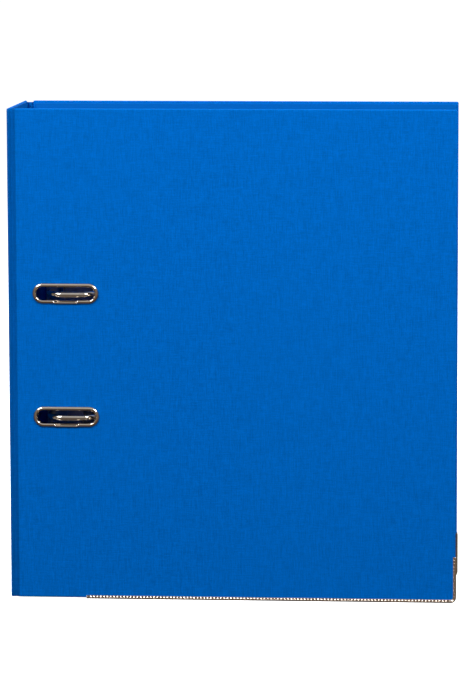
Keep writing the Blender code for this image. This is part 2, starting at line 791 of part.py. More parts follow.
def compressor_bar():
    """Paper compressor: a channel with turned-down sides that slides on both posts."""
    half_x = BAR_WIDTH / 2
    half_z = BAR_LENGTH / 2
    centre_x = x_at(POST_X)
    outline = rounded([((centre_x + sx * half_x, ARCH_MID_Z + sz * half_z, 0), 0.0055)
                       for sx, sz in ((-1, -1), (1, -1), (1, 1), (-1, 1))])
    top = BAR_BOTTOM_H + BAR_HEIGHT
    bar = slab("compressor_bar", outline, y_at(top), y_at(BAR_BOTTOM_H), FACE_Y)
    inner = [((centre_x + sx * (half_x - BAR_SHEET), ARCH_MID_Z + sz * (half_z - BAR_SHEET), 0),
              0.0043) for sx, sz in ((-1, -1), (1, -1), (1, 1), (-1, 1))]
    hollow = slab("bar_hollow", rounded(inner), y_at(top - BAR_SHEET),
                  y_at(BAR_BOTTOM_H - 0.002), FACE_Y)
    holes = [rod("bar_hole", "Y", y_at(top + 0.002), y_at(BAR_BOTTOM_H - 0.002),
                 (centre_x, z), POST_R + 2 * GAP) for z in RING_HEIGHTS]
    cut(bar, hollow, *holes)
    return finish(bar, BRIGHT_STEEL)


def compressor_clip():
    """Finger clip on top of the compressor bar, bent up at both ends."""
    foot = BAR_BOTTOM_H + BAR_HEIGHT + GAP
    sheet = 0.0008
    rise = 0.0045
    half = CLIP_LENGTH / 2
    side = [
        (foot, -half + 0.004, 0),
        (foot, half - 0.004, 0.0020),
        (foot + rise, half, 0),
        (foot + rise + sheet * 0.5, half - sheet, 0),
        (foot + sheet, half - 0.0046, 0.0020),
        (foot + sheet, -half + 0.0046, 0.0020),
        (foot + rise + sheet * 0.5, -half + sheet, 0),
        (foot + rise, -half, 0),
    ]
    outline = rounded([((y_at(h), ARCH_MID_Z + z, 0), radius) for h, z, radius in side], steps=4)
    clip = slab("compressor_clip", outline, x_at(POST_X - 0.0045), x_at(POST_X + 0.0045), FACE_X)
    return finish(clip, NICKEL)


# ---------------------------------------------------------------- assembly

def axis_empty(name, place):
    empty = bpy.data.objects.new(name, None)
    empty.location = place
    empty.empty_display_size = 0.01
    PARTS.objects.link(empty)
    return empty


def carry(holder, *children):
    """Parent objects to a holder without moving them."""
    bpy.context.view_layer.update()
    for child in children:
        child.parent = holder
        child.matrix_parent_inverse = holder.matrix_world.inverted()


def build():
    front = [front_board(), front_lining(), edge_protector("front_edge_protector", FRONT_Y, 1)]
    for ring_name, side in zip(RING_NAMES, (-1, 1)):
        front.append(eyelet(f"eyelet_{ring_name}", SLOT_MID_Z + side * RING_PITCH / 2))

    spine = [spine_board(), spine_lining(), finger_ring(), finger_ring_washer(), spine_label()]
    spine.append(hinge_strip("front_hinge_strip", FRONT_Y, 1, FRONT_HINGE_W))

    back_board()
    back_lining()
    edge_protector("back_edge_protector", BACK_Y, -1)
    hinge_strip("back_hinge_strip", BACK_Y, -1, BACK_HINGE_W)
    base_plate()
    for number, place in enumerate(rivet_places(), start=1):
        rivet(f"rivet_{number}", place)
    for ring_name, height in zip(RING_NAMES, RING_HEIGHTS):
        post(f"post_{ring_name}", height)
    shaft_saddle("shaft_saddle_lower", 0.1250, 0.1310)
    shaft_saddle("shaft_saddle_upper", 0.1840, 0.1900)
    lever_bracket()
    lever_pin()
    arch_spring()

    spine_axis = axis_empty("spine_fold_axis", (SPINE_X, BACK_Y, 0))
    front_axis = axis_empty("front_cover_axis", (SPINE_X, FRONT_Y, 0))
    arch_axis = axis_empty("arch_swing_axis", (x_at(SHAFT_X), y_at(SHAFT_H), ARCH_MID_Z))
    lever_axis = axis_empty("lever_pivot_axis", (x_at(LEVER_X), y_at(PIVOT_H), PIVOT_Z))
    roller_axis = axis_empty("roller_spin_axis", (x_at(LEVER_X), *roller_place()))
    bar_axis = axis_empty("compressor_slide_axis", (x_at(POST_X), y_at(0), ARCH_MID_Z))
    carry(spine_axis, front_axis, *spine)
    carry(front_axis, *front)
    carry(arch_axis, arch_wire())
    carry(lever_axis, roller_axis, lever(), roller_pin())
    carry(roller_axis, pressure_roller())
    carry(bar_axis, compressor_bar(), compressor_clip())


build()
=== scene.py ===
"""Looks of the lever arch file: cloth, paper and metal pieces built round the fixed frame.

Everything is in metres in the frame's own coordinates: X runs from the spine to the free edge,
Y from the front cover to the back cover, and Z up.
"""

import math

import bmesh
import bpy
from mathutils import Matrix, Vector


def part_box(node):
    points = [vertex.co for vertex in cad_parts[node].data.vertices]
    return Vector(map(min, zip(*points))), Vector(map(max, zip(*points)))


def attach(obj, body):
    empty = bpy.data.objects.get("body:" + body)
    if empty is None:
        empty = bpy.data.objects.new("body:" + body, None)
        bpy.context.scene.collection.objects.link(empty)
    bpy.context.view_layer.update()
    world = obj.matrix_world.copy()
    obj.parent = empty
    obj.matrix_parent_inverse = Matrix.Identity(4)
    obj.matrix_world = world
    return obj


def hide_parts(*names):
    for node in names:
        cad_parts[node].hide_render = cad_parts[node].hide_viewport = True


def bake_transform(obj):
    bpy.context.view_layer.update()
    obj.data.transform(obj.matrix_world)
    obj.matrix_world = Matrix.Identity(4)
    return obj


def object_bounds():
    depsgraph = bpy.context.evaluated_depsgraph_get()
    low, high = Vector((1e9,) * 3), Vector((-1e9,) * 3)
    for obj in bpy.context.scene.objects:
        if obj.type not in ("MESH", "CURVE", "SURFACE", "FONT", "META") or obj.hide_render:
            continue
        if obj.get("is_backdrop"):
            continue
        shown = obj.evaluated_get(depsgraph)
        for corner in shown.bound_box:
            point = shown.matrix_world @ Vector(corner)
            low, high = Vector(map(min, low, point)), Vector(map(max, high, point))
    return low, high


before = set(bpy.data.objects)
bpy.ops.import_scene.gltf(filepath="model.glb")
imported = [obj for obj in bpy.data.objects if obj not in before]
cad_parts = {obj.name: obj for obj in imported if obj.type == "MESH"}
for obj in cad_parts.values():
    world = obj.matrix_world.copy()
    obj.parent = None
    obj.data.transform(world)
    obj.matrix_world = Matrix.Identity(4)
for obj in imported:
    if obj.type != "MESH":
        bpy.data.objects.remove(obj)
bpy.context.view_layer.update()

# ---------------------------------------------------------------- places taken from the frame

SPINE_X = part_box("spine_board")[0].x
FREE_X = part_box("front_board")[1].x
FRONT_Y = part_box("front_board")[0].y
BACK_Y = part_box("back_board")[1].y
BOTTOM_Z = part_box("front_board")[0].z
TOP_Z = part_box("front_board")[1].z
FRONT_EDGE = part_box("front_board")[0].x - SPINE_X      # cover edges beside the hinges
BACK_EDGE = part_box("back_board")[0].x - SPINE_X

BOARD_T = 0.0020
WALL_T = 0.0027
STAND = 0.0006
FREE_CORNER_R = 0.0030
PLATE_TOP_H = 0.0015
SLOT_X = 0.0372
SLOT_STRAIGHT = 0.0147
SLOT_HOLE_R = 0.00515
RINGS = (("lower", 0.118), ("upper", 0.198))
SLOT_RISE = 0.001                                       # slots sit above the arches

FACE_Y = (math.radians(90), 0, 0)
FACE_X = (math.radians(90), 0, math.radians(90))


def x_at(distance):
    """World X at a distance from the spine's outer face."""
    return SPINE_X + distance


def y_at(height):
    """World Y at a height above the back cover's lining, towards the front cover."""
    return BACK_Y - WALL_T - height


# ---------------------------------------------------------------- camera and light

def add_camera():
    data = bpy.data.cameras.new("camera")
    camera = new_object("camera", data)
    bpy.context.scene.camera = camera
    yaw = math.radians(-3.515)
    pitch = math.radians(5.748)
    roll = math.radians(-0.06)
    forward = Vector((math.sin(yaw) * math.cos(pitch), math.cos(yaw) * math.cos(pitch),
                      -math.sin(pitch)))
    side = forward.cross(Vector((0, 0, 1))).normalized()
    up = side.cross(forward)
    right = side * math.cos(roll) + up * math.sin(roll)
    top = up * math.cos(roll) - side * math.sin(roll)
    turn = Matrix((right, top, -forward)).transposed().to_4x4()
    camera.matrix_world = Matrix.Translation((0.1688, -2.0345, 0.4549)) @ turn
    data.sensor_width = 36.0
    data.lens = 162.07
    data.shift_x = -0.1
    data.shift_y = -0.2
    data.clip_start = 0.05
    data.clip_end = 60


def area_light(name, place, aim, size, power, in_gloss=True):
    data = bpy.data.lights.new(name, "AREA")
    data.shape = "RECTANGLE"
    data.size = size[0]
    data.size_y = size[1]
    data.energy = power
    light = new_object(name, data)
    light.location = place
    light.rotation_euler = (Vector(aim) - Vector(place)).to_track_quat("-Z", "Y").to_euler()
    light.visible_glossy = in_gloss


def add_lights():
    area_light("softbox_left", (-1.00, -0.95, 1.27), (0.0, 0.0, 0.22), (0.70, 0.60), 25)
    area_light("softbox_right", (1.00, -0.95, 1.27), (0.0, 0.0, 0.22), (0.70, 0.60), 26)
    area_light("top", (0.0, 0.10, 1.7), (0.0, 0.05, 0.0), (0.8, 0.3), 0.9, False)
    area_light("softbox_back", (0.25, 1.40, 1.45), (0.0, 0.04, 0.12), (1.1, 0.7), 24, False)
    area_light("fill_spine", (-1.75, 0.55, 0.75), (-0.14, 0.0, 0.16), (0.8, 0.8), 15)
    area_light("fill_inside", (1.6, 0.12, 0.75), (-0.10, 0.0, 0.14), (0.5, 0.5), 6, False)


def wired(tree, kind, inputs, **settings):
    """A node with its settings, and its inputs set to values or linked to sockets."""
    made = tree.nodes.new(kind)
    for key, value in settings.items():
        setattr(made, key, value)
    for key, value in inputs.items():
        if isinstance(value, bpy.types.NodeSocket):
            tree.links.new(value, made.inputs[key])
        else:
            made.inputs[key].default_value = value
    return made


def add_world():
    """White to the camera, dim to diffuse rays, and to glossy rays a room graded by height."""
    world = bpy.data.worlds.new("studio")
    bpy.context.scene.world = world
    world.use_nodes = True
    tree = world.node_tree
    tree.nodes.clear()

    def background(colour, strength):
        inputs = {"Color": colour, "Strength": strength}
        return wired(tree, "ShaderNodeBackground", inputs).outputs[0]

    def choose(factor, first, second):
        return wired(tree, "ShaderNodeMixShader", {0: factor, 1: first, 2: second}).outputs[0]

    place = wired(tree, "ShaderNodeTexCoord", {})
    parts = wired(tree, "ShaderNodeSeparateXYZ", {0: place.outputs["Generated"]})
    height = wired(tree, "ShaderNodeMath", {0: parts.outputs["Z"], 1: 0.5, 2: 0.5},
                   operation="MULTIPLY_ADD")
    room = wired(tree, "ShaderNodeValToRGB", {0: height.outputs[0]})
    stops = room.color_ramp.elements
    stops[0].position = 0.18
    stops[0].color = (0.12, 0.085, 0.06, 1)
    stops[1].position = 0.84
    stops[1].color = (1.05, 1.05, 1.05, 1)
    for height_share, tone in ((0.44, (0.28, 0.222, 0.176, 1)), (0.62, (0.30, 0.26, 0.23, 1)),
                               (0.72, (0.56, 0.55, 0.54, 1))):
        stops.new(height_share).color = tone
    sides = wired(tree, "ShaderNodeMapRange", {"Value": parts.outputs["Y"], "From Min": -0.75,
                                               "From Max": -0.30, "To Min": 1.0, "To Max": 0.5})
    path = wired(tree, "ShaderNodeLightPath", {})
    glossy = background(room.outputs[0], sides.outputs[0])
    lit = choose(path.outputs["Is Glossy Ray"], background((0.026, 0.027, 0.030, 1), 1.0), glossy)
    whole = choose(path.outputs["Is Camera Ray"], lit, background((1, 1, 1, 1), 1.1))
    wired(tree, "ShaderNodeOutputWorld", {"Surface": whole})
    view = bpy.context.scene.view_settings
    view.view_transform = "Standard"
    view.look = "None"
    view.exposure = 0.0
    view.gamma = 1.0


# ---------------------------------------------------------------- materials

class Surface:
    """A Principled material and short calls to wire nodes into it."""

    def __init__(self, name, colour, roughness, metallic=0.0):
        self.material = bpy.data.materials.new(name)
        self.material.use_nodes = True
        self.tree = self.material.node_tree
        self.shader = self.tree.nodes["Principled BSDF"]
        self.shader.inputs["Base Color"].default_value = (*colour, 1)
        self.shader.inputs["Roughness"].default_value = roughness
        self.shader.inputs["Metallic"].default_value = metallic
        self.material.diffuse_color = (*colour, 1)
        self.place = self.node("ShaderNodeTexCoord", {}).outputs["Object"]

    def node(self, kind, inputs, **settings):
        return wired(self.tree, kind, inputs, **settings)

    def link(self, source, target):
        self.tree.links.new(source, target)

    def noise(self, scale, detail=2.0, rough=0.5, shift=0.0):
        """Noise of the place scaled by a number or a vector, as a factor of 0 to 1."""
        if isinstance(scale, (int, float)):
            scale = (scale, scale, scale)
        mapping = self.node("ShaderNodeMapping", {
            "Vector": self.place, "Scale": scale, "Location": (shift, shift * 0.7, shift * 1.3)})
        made = self.node("ShaderNodeTexNoise", {
            "Vector": mapping.outputs[0], "Scale": 1.0, "Detail": detail, "Roughness": rough})
        return made.outputs["Fac"]

    def math(self, operation, *values):
        return self.node("ShaderNodeMath", dict(enumerate(values)), operation=operation).outputs[0]

    def spread(self, value, low, high, out_low=0, out_high=1, kind="LINEAR"):
        """A value between low and high turned into one between out_low and out_high."""
        return self.node("ShaderNodeMapRange", {
            "Value": value, "From Min": low, "From Max": high, "To Min": out_low,
            "To Max": out_high}, interpolation_type=kind).outputs[0]

    def blend(self, factor, first, second):
        """A mix of two colours; each is a triple or a socket."""
        made = self.node("ShaderNodeMix", {}, data_type="RGBA")
        self.link(factor, made.inputs["Factor"])
        for name, value in (("A", first), ("B", second)):
            socket = [s for s in made.inputs if s.name == name and s.type == "RGBA"][0]
            if isinstance(value, tuple):
                socket.default_value = (*value, 1)
            else:
                self.link(value, socket)
        return [s for s in made.outputs if s.type == "RGBA"][0]

    def colour(self, socket):
        self.link(socket, self.shader.inputs["Base Color"])

    def gloss(self, level, tint=(1, 1, 1)):
        self.shader.inputs["Specular IOR Level"].default_value = level
        self.shader.inputs["Specular Tint"].default_value = (*tint, 1)

    def inset(self, value, low, high):
        """How far a value is inside the nearer of two limits."""
        return self.math("MINIMUM", self.math("SUBTRACT", value, low),
                         self.math("SUBTRACT", high, value))

    def roughness(self, socket):
        self.link(socket, self.shader.inputs["Roughness"])

    def bump(self, height, distance, strength=1.0, under=None):
        inputs = {"Strength": strength, "Distance": distance, "Height": height}
        if under is not None:
            inputs["Normal"] = under
        made = self.node("ShaderNodeBump", inputs)
        self.link(made.outputs[0], self.shader.inputs["Normal"])
        return made.outputs[0]

    def axes(self):
        return self.node("ShaderNodeSeparateXYZ", {0: self.place}).outputs


def shade(colour, factor):
    return tuple(part * factor for part in colour)


def linen_cloth(name, colour, relief=0.00007):
    """Book cloth embossed with an irregular linen grain, its threads along X and Z."""
    made = Surface(name, colour, 0.62)
    made.gloss(0.22, (0.0, 0.62, 1.0))
    lying = made.noise((120, 120, 1800), 2.0, 0.65)
    standing = made.noise((1800, 1800, 105), 2.0, 0.65, shift=3.1)
    thread_low = made.noise((220, 220, 2600), 1.0, 0.5, shift=7.7)
    thread_up = made.noise((2600, 2600, 220), 1.0, 0.5, shift=9.2)
    knots = made.noise(1300, 1.0, 0.5, shift=5.3)
    upright = made.math("MULTIPLY", made.spread(standing, 0.3, 0.7), 1.25)
    fine = made.math("MULTIPLY_ADD", made.spread(lying, 0.3, 0.7), 0.85, upright)
    yarn = made.math("ADD", made.spread(thread_low, 0.35, 0.65),
                     made.spread(thread_up, 0.35, 0.65))
    threads = made.math("MULTIPLY_ADD", yarn, 0.16, made.math("MULTIPLY", fine, 0.52))
    height = made.math("MULTIPLY_ADD", made.spread(knots, 0.3, 0.7), 0.35, threads)
    grain = made.spread(height, 0.40, 1.30)
    cloudy = made.noise(9, shift=1.7)
    weave = made.blend(grain, shade(colour, 0.80), shade(colour, 1.20))
    whole = made.blend(made.spread(cloudy, 0.35, 0.65, 0, 0.2), weave, shade(colour, 1.01))
    made.colour(whole)
    made.roughness(made.spread(grain, 0, 1, 0.68, 0.56))
    made.bump(height, relief, 0.55)
    return made.material


def lining_paper(name, colour, low, high, across):
    """Smooth paper glued inside a board, with the cloth's turned-in border showing through."""
    made = Surface(name, colour, 0.55)
    made.gloss(0.16, (0.3, 0.6, 1.0))
    place = made.axes()
    to_edge = made.math("MINIMUM", made.inset(place[across], low[0], high[0]),
                        made.inset(place["Z"], low[1], high[1]))
    step = made.spread(to_edge, 0.0125, 0.0145, 1, 0, kind="SMOOTHSTEP")
    fibre = made.noise(700, 3.0, 0.6)
    blotch = made.noise((14, 14, 22), shift=4.4)
    speck = made.noise(240, shift=2.2)
    tone = made.blend(made.spread(fibre, 0.35, 0.65), shade(colour, 0.93), shade(colour, 1.06))
    made.colour(made.blend(made.spread(blotch, 0.35, 0.65, 0, 0.5), tone, shade(colour, 1.05)))
    made.roughness(made.spread(speck, 0.3, 0.7, 0.5, 0.62))
    ridge = made.bump(step, 0.00016, 0.8)
    made.bump(fibre, 0.00003, 0.35, under=ridge)
    return made.material


def plated(name, colour, rough_low, rough_high, brushed=(60, 60, 900), relief=0.000006):
    """Bright plated metal with faint rolling marks and handling smears."""
    made = Surface(name, colour, (rough_low + rough_high) / 2, 1.0)
    lines = made.noise(brushed, 2.0, 0.6)
    smear = made.noise(45, 3.0, 0.55, shift=5.5)
    pits = made.noise(900, shift=8.1)
    tone = made.blend(made.spread(smear, 0.3, 0.7), shade(colour, 0.90), shade(colour, 1.08))
    made.colour(made.blend(made.spread(lines, 0.35, 0.65, 0, 0.35), tone, shade(colour, 0.84)))
    mixed = made.math("ADD", made.math("MULTIPLY", smear, 0.6), made.math("MULTIPLY", lines, 0.4))
    made.roughness(made.spread(mixed, 0.3, 0.7, rough_low, rough_high))
    under = made.bump(lines, relief, 0.5)
    made.bump(pits, relief * 1.4, 0.4, under=under)
    return made.material


def label_card(name, colour, low, high):
    """White card with a printed frame and three writing lines."""
    made = Surface(name, colour, 0.7)
    made.gloss(0.25)
    place = made.axes()
    to_side = made.inset(place["Y"], low[0], high[0])
    to_edge = made.math("MINIMUM", to_side, made.inset(place["Z"], low[1], high[1]))
    line_inset, line_half = 0.0035, 0.0004
    frame_line = made.math("COMPARE", to_edge, line_inset, line_half)
    inside = made.math("GREATER_THAN", to_side, 0.009)
    ruled = None
    for height in (0.055, 0.075, 0.095):
        line = made.math("COMPARE", place["Z"], low[1] + height, 0.00025)
        ruled = line if ruled is None else made.math("MAXIMUM", ruled, line)
    ink = made.math("MAXIMUM", frame_line, made.math("MULTIPLY", ruled, inside))
    fibre = made.noise(500, 3.0, 0.6)
    paper = made.blend(made.spread(fibre, 0.35, 0.65), shade(colour, 0.96), colour)
    made.colour(made.blend(ink, paper, (0.10, 0.12, 0.16)))
    made.roughness(made.spread(fibre, 0.3, 0.7, 0.62, 0.75))
    made.bump(fibre, 0.00002, 0.3)
    return made.material


CLOTH_BLUE = (0.0, 0.128, 0.536)
# The hinge cloth is the cover cloth darkened to about 0.7: painted shade for the dimmer light in the
# hinge grooves.
HINGE_SHADE_BLUE = (0.0, 0.090, 0.380)
PAPER_BLUE = (0.0, 0.118, 0.470)
# The spine lining is the cover lining's blue darkened to 0.7: painted shade for the dimly lit inner
# face of the spine.
SPINE_SHADE_BLUE = (0.0, 0.082, 0.330)
CLOTH = linen_cloth("blue_linen_cloth", CLOTH_BLUE)
HINGE_SHADED_CLOTH = linen_cloth("blue_hinge_cloth_painted_shade", HINGE_SHADE_BLUE, 0.00006)
COVER_PAPER = lining_paper("blue_cover_lining", PAPER_BLUE, (x_at(FRONT_EDGE), BOTTOM_Z),
                           (FREE_X, TOP_Z), "X")
SPINE_SHADED_PAPER = lining_paper("blue_spine_lining_painted_shade", SPINE_SHADE_BLUE, (FRONT_Y, BOTTOM_Z),
                           (BACK_Y, TOP_Z), "Y")
NICKEL = plated("nickel_plate", (0.56, 0.49, 0.42), 0.07, 0.15, (300, 300, 300), 0.0000015)
NICKEL_EDGE = plated("nickel_edge", (0.56, 0.50, 0.44), 0.15, 0.22, (300, 300, 300), 0.0000015)
STEEL = plated("plated_steel", (0.66, 0.66, 0.65), 0.26, 0.40, (420, 420, 40), 0.000002)
WIRE = plated("bright_wire", (0.58, 0.55, 0.51), 0.05, 0.15, (500, 500, 60), 0.000002)
SPRING = plated("spring_steel", (0.30, 0.30, 0.32), 0.25, 0.42, (300, 300, 300))
LABEL_LOW, LABEL_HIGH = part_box("spine_label")
CARD = label_card("white_label_card", (0.86, 0.86, 0.83), (LABEL_LOW.y, LABEL_LOW.z),
                  (LABEL_HIGH.y, LABEL_HIGH.z))


# ---------------------------------------------------------------- mesh helpers

def rounded(corners, closed=True, steps=8):
    """Points through the corners (position, radius), with an arc at each corner."""
    count = len(corners)
    points = []
    for index, (corner, radius) in enumerate(corners):
        corner = Vector(corner)
        is_end = not closed and index in (0, count - 1)
        if is_end or radius == 0:
            points.append(corner)
            continue
        before = (Vector(corners[index - 1][0]) - corner).normalized()
        after = (Vector(corners[(index + 1) % count][0]) - corner).normalized()
        half = before.angle(after) / 2
        centre = corner + (before + after).normalized() * radius / math.sin(half)
        start = (corner + before * radius / math.tan(half) - centre).normalized()
        stop = (corner + after * radius / math.tan(half) - centre).normalized()
        arc_steps = max(2, round(steps * (math.pi - 2 * half) / (math.pi / 2)))
        for step in range(arc_steps + 1):
            points.append(centre + radius * start.slerp(stop, step / arc_steps))
    return points


def rectangle(left, low, right, high, radius, steps=8):
    """Outline of a rectangle with round corners."""
    corners = ((left, low), (right, low), (right, high), (left, high))
    return rounded([((*place, 0), radius) for place in corners], steps=steps)


def side_outline(places):
    """Outline in YZ through places of (height above the lining, z, corner radius)."""
    return rounded([((y_at(height), z, 0), radius) for height, z, radius in places])


def new_object(name, data):
    made = bpy.data.objects.new(name, data)
    bpy.context.scene.collection.objects.link(made)
    return made


def tidied(mesh, weld):
    """The mesh with doubled points welded and its faces turned outwards."""
    work = bmesh.new()
    work.from_mesh(mesh)
    bmesh.ops.remove_doubles(work, verts=work.verts, dist=weld)
    bmesh.ops.recalc_face_normals(work, faces=work.faces)
    work.to_mesh(mesh)
    work.free()
    return mesh


def applied(obj):
    """The object's mesh with its modifiers and its place worked in."""
    bpy.context.view_layer.update()
    evaluated = obj.evaluated_get(bpy.context.evaluated_depsgraph_get())
    mesh = bpy.data.meshes.new_from_object(evaluated)
    mesh.transform(obj.matrix_world)
    name = obj.name
    bpy.data.objects.remove(obj, do_unlink=True)
    mesh.name = name
    return new_object(name, tidied(mesh, 0.000002))


def slab(name, outlines, low, high, facing, edge_r=0.0, steps=3):
    """A flat outline with any holes, given a thickness and round edges."""
    data = bpy.data.curves.new(name, "CURVE")
    data.dimensions = "2D"
    data.fill_mode = "BOTH"
    data.extrude = (high - low) / 2 - edge_r
    data.bevel_depth = edge_r
    data.bevel_resolution = steps
    data.offset = -edge_r
    for outline in outlines:
        spline = data.splines.new("POLY")
        spline.points.add(len(outline) - 1)
        for point, place in zip(spline.points, outline):
            point.co = (place[0], place[1], 0, 1)
        spline.use_cyclic_u = True
    middle = (low + high) / 2
    made = new_object(name, data)
    made.rotation_euler = facing
    made.location = (0, middle, 0) if facing == FACE_Y else (middle, 0, 0)
    return applied(made)


def tube(name, points, radius, sides=6, closed=False):
    """A round wire along a list of points."""
    data = bpy.data.curves.new(name, "CURVE")
    data.dimensions = "3D"
    data.bevel_depth = radius
    data.bevel_resolution = sides
    data.use_fill_caps = True
    spline = data.splines.new("POLY")
    spline.points.add(len(points) - 1)
    for point, place in zip(spline.points, points):
        point.co = (*place, 1)
    spline.use_cyclic_u = closed
    return applied(new_object(name, data))


AXIS_TURN = {
    "X": Matrix.Rotation(math.radians(90), 4, "Y"),
    "Y": Matrix.Rotation(math.radians(-90), 4, "X"),
}


def turned(name, profile, axis, centre, steps=40):
    """A profile of (radius, place along the axis) turned full circle."""
    ring = profile[0][0] > 0
    verts, faces, rows = [], [], []
    for radius, along in profile:
        if radius < 1e-7:
            rows.append([len(verts)])
            verts.append(Vector((0, 0, along)))
            continue
        rows.append(list(range(len(verts), len(verts) + steps)))
        for step in range(steps):
            angle = 2 * math.pi * step / steps
            verts.append(Vector((radius * math.cos(angle), radius * math.sin(angle), along)))
    pairs = list(zip(rows, rows[1:]))
    if ring:
        pairs.append((rows[-1], rows[0]))
    for first, second in pairs:
        for step in range(steps):
            after = (step + 1) % steps
            if len(first) == 1:
                faces.append((first[0], second[step], second[after]))
            elif len(second) == 1:
                faces.append((first[step], second[0], first[after]))
            else:
                faces.append((first[step], second[step], second[after], first[after]))
    place = Matrix.Translation(centre) @ AXIS_TURN[axis]
    return mesh_piece(name, [place @ vert for vert in verts], faces)


def mesh_piece(name, verts, faces):
    mesh = bpy.data.meshes.new(name)
    mesh.from_pydata([tuple(vert) for vert in verts], [], faces)
    return new_object(name, tidied(mesh, 0.000001))


def swept(name, sections, closed=False):
    """A skin over closed sections of equally many points, with flat ends if it isn't closed."""
    verts = [point for section in sections for point in section]
    size = len(sections[0])
    faces = []
    last = len(sections) if closed else len(sections) - 1
    for row in range(last):
        here = row * size
        there = ((row + 1) % len(sections)) * size
        for index in range(size):
            after = (index + 1) % size
            faces.append((here + index, here + after, there + after, there + index))
    if not closed:
        faces.append(tuple(range(size)))
        faces.append(tuple(range((len(sections) - 1) * size, len(sections) * size)))
    return mesh_piece(name, verts, faces)


def joined(name, *objects):
    """Several meshes made one piece."""
    work = bmesh.new()
    for obj in objects:
        work.from_mesh(obj.data)
    mesh = bpy.data.meshes.new(name)
    work.to_mesh(mesh)
    work.free()
    for obj in objects:
        bpy.data.objects.remove(obj, do_unlink=True)
    return new_object(name, mesh)


def cut(obj, *tools):
    """The object with the tools' shapes cut away."""
    for tool in tools:
        step = obj.modifiers.new("cut", "BOOLEAN")
        step.operation = "DIFFERENCE"
        step.object = tool
        step.solver = "EXACT"
    made = applied(obj)
    for tool in tools:
        bpy.data.objects.remove(tool, do_unlink=True)
    return made


def soften(obj, width, segments=2, angle=40):
    """Small round edges on what a cut left sharp."""
    bevel = obj.modifiers.new("soften", "BEVEL")
    bevel.width = width
    bevel.segments = segments
    bevel.limit_method = "ANGLE"
    bevel.angle_limit = math.radians(angle)
    return applied(obj)


def rod(name, axis, start, stop, across, radius, segments=28):
    centre = list(across)
    centre.insert("XYZ".index(axis), (start + stop) / 2)
    half = (stop - start) / 2
    return turned(name, [(0, half), (radius, half), (radius, -half), (0, -half)], axis, centre,
                  segments)


def settle(obj, material, body, nodes, smooth=40, planes=False):
    """Give a piece its material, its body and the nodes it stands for."""
    obj.data.materials.clear()
    obj.data.materials.append(material)
    obj.data.shade_smooth()
    obj.data.set_sharp_from_angle(angle=math.radians(smooth))
    if planes:
        for face in obj.data.polygons:
            face.use_smooth = max(abs(part) for part in face.normal) < 0.99999
    if body:
        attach(obj, body)
    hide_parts(*nodes)


def stadium(centre_x, centre_z, radius, straight=SLOT_STRAIGHT, steps=16):
    """Outline of a slot with round ends."""
    points = []
    for side in (1, -1):
        for step in range(steps + 1):
            angle = side * math.pi / 2 - math.pi * step / steps
            points.append((centre_x + side * straight + radius * math.cos(angle),
                           centre_z + radius * math.sin(angle)))
    return points


# ---------------------------------------------------------------- covers and spine

def cover_outline(left, inset=0.0, lower_r=FREE_CORNER_R):
    return rounded([((left, BOTTOM_Z + inset, 0), 0.0009),
                    ((FREE_X - inset, BOTTOM_Z + inset, 0), lower_r),
                    ((FREE_X - inset, TOP_Z - inset, 0), 0.0011),
                    ((left, TOP_Z - inset, 0), 0.0009)])


def circle(centre, radius, steps=24):
    return [(centre[0] + radius * math.cos(2 * math.pi * step / steps),
             centre[1] + radius * math.sin(2 * math.pi * step / steps)) for step in range(steps)]


RIVETS = []
for number in (1, 2, 3, 4):
    low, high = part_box(f"rivet_{number}")
    RIVETS.append(((low.x + high.x) / 2, (low.z + high.z) / 2))

RIVET_HOLES = [circle(place, 0.0023) for place in RIVETS]
FINGER = (0.0, 0.072)
PAPER_SKIN = 0.00004             # between a lining and its board
PAPER_EDGE_R = 0.00028


def build_cover(side, edge, outer_y, inner_y, holes):
    """Cloth-covered board and lining of one cover; inner_y is the cover's inner face."""
    inward = 1 if inner_y > outer_y else -1
    board_y = outer_y + inward * BOARD_T
    paper_y = board_y + inward * PAPER_SKIN
    cloth = slab(f"{side}_cover_cloth", [cover_outline(x_at(edge)), *holes],
                 min(outer_y, board_y), max(outer_y, board_y), FACE_Y, 0.0008)
    settle(cloth, CLOTH, f"{side}_cover", [f"{side}_board"], planes=True)
    outline = cover_outline(x_at(edge + 0.0020), 0.0016, 0.0016)
    paper = slab(f"{side}_cover_lining", [outline, *holes], min(paper_y, inner_y),
                 max(paper_y, inner_y), FACE_Y, PAPER_EDGE_R)
    settle(paper, COVER_PAPER, f"{side}_cover", [f"{side}_lining"], planes=True)


def build_spine():
    margin = 0.0008
    finger_hole = circle(FINGER, 0.0129, 48)
    outline = rectangle(FRONT_Y + margin, BOTTOM_Z, BACK_Y - margin, TOP_Z, 0.0012)
    spine = slab("spine_cover_cloth", [outline, finger_hole], x_at(0), x_at(BOARD_T), FACE_X,
                 0.0010, 4)
    settle(spine, CLOTH, "spine", ["spine_board"], planes=True)
    side = 0.0042
    inset = 0.0008
    outline = rectangle(FRONT_Y + side, BOTTOM_Z + inset, BACK_Y - side, TOP_Z - inset, 0.0008)
    paper = slab("spine_inner_lining", [outline, finger_hole], x_at(BOARD_T + PAPER_SKIN),
                 x_at(WALL_T), FACE_X, PAPER_EDGE_R)
    settle(paper, SPINE_SHADED_PAPER, "spine", ["spine_lining"], planes=True)


def smooth_line(points, steps):
    """A line through the points with its corners eased out."""
    line = []
    count = len(points)
    for index in range(count - 1):
        p0 = points[max(index - 1, 0)]
        p1 = points[index]
        p2 = points[index + 1]
        p3 = points[min(index + 2, count - 1)]
        for step in range(steps):
            t = step / steps
            place = []
            for a, b, c, d in zip(p0, p1, p2, p3):
                place.append(0.5 * (2 * b + (c - a) * t + (2 * a - 5 * b + 4 * c - d) * t ** 2
                                    + (3 * b - a - 3 * c + d) * t ** 3))
            line.append(tuple(place))
    line.append(points[-1])
    return line


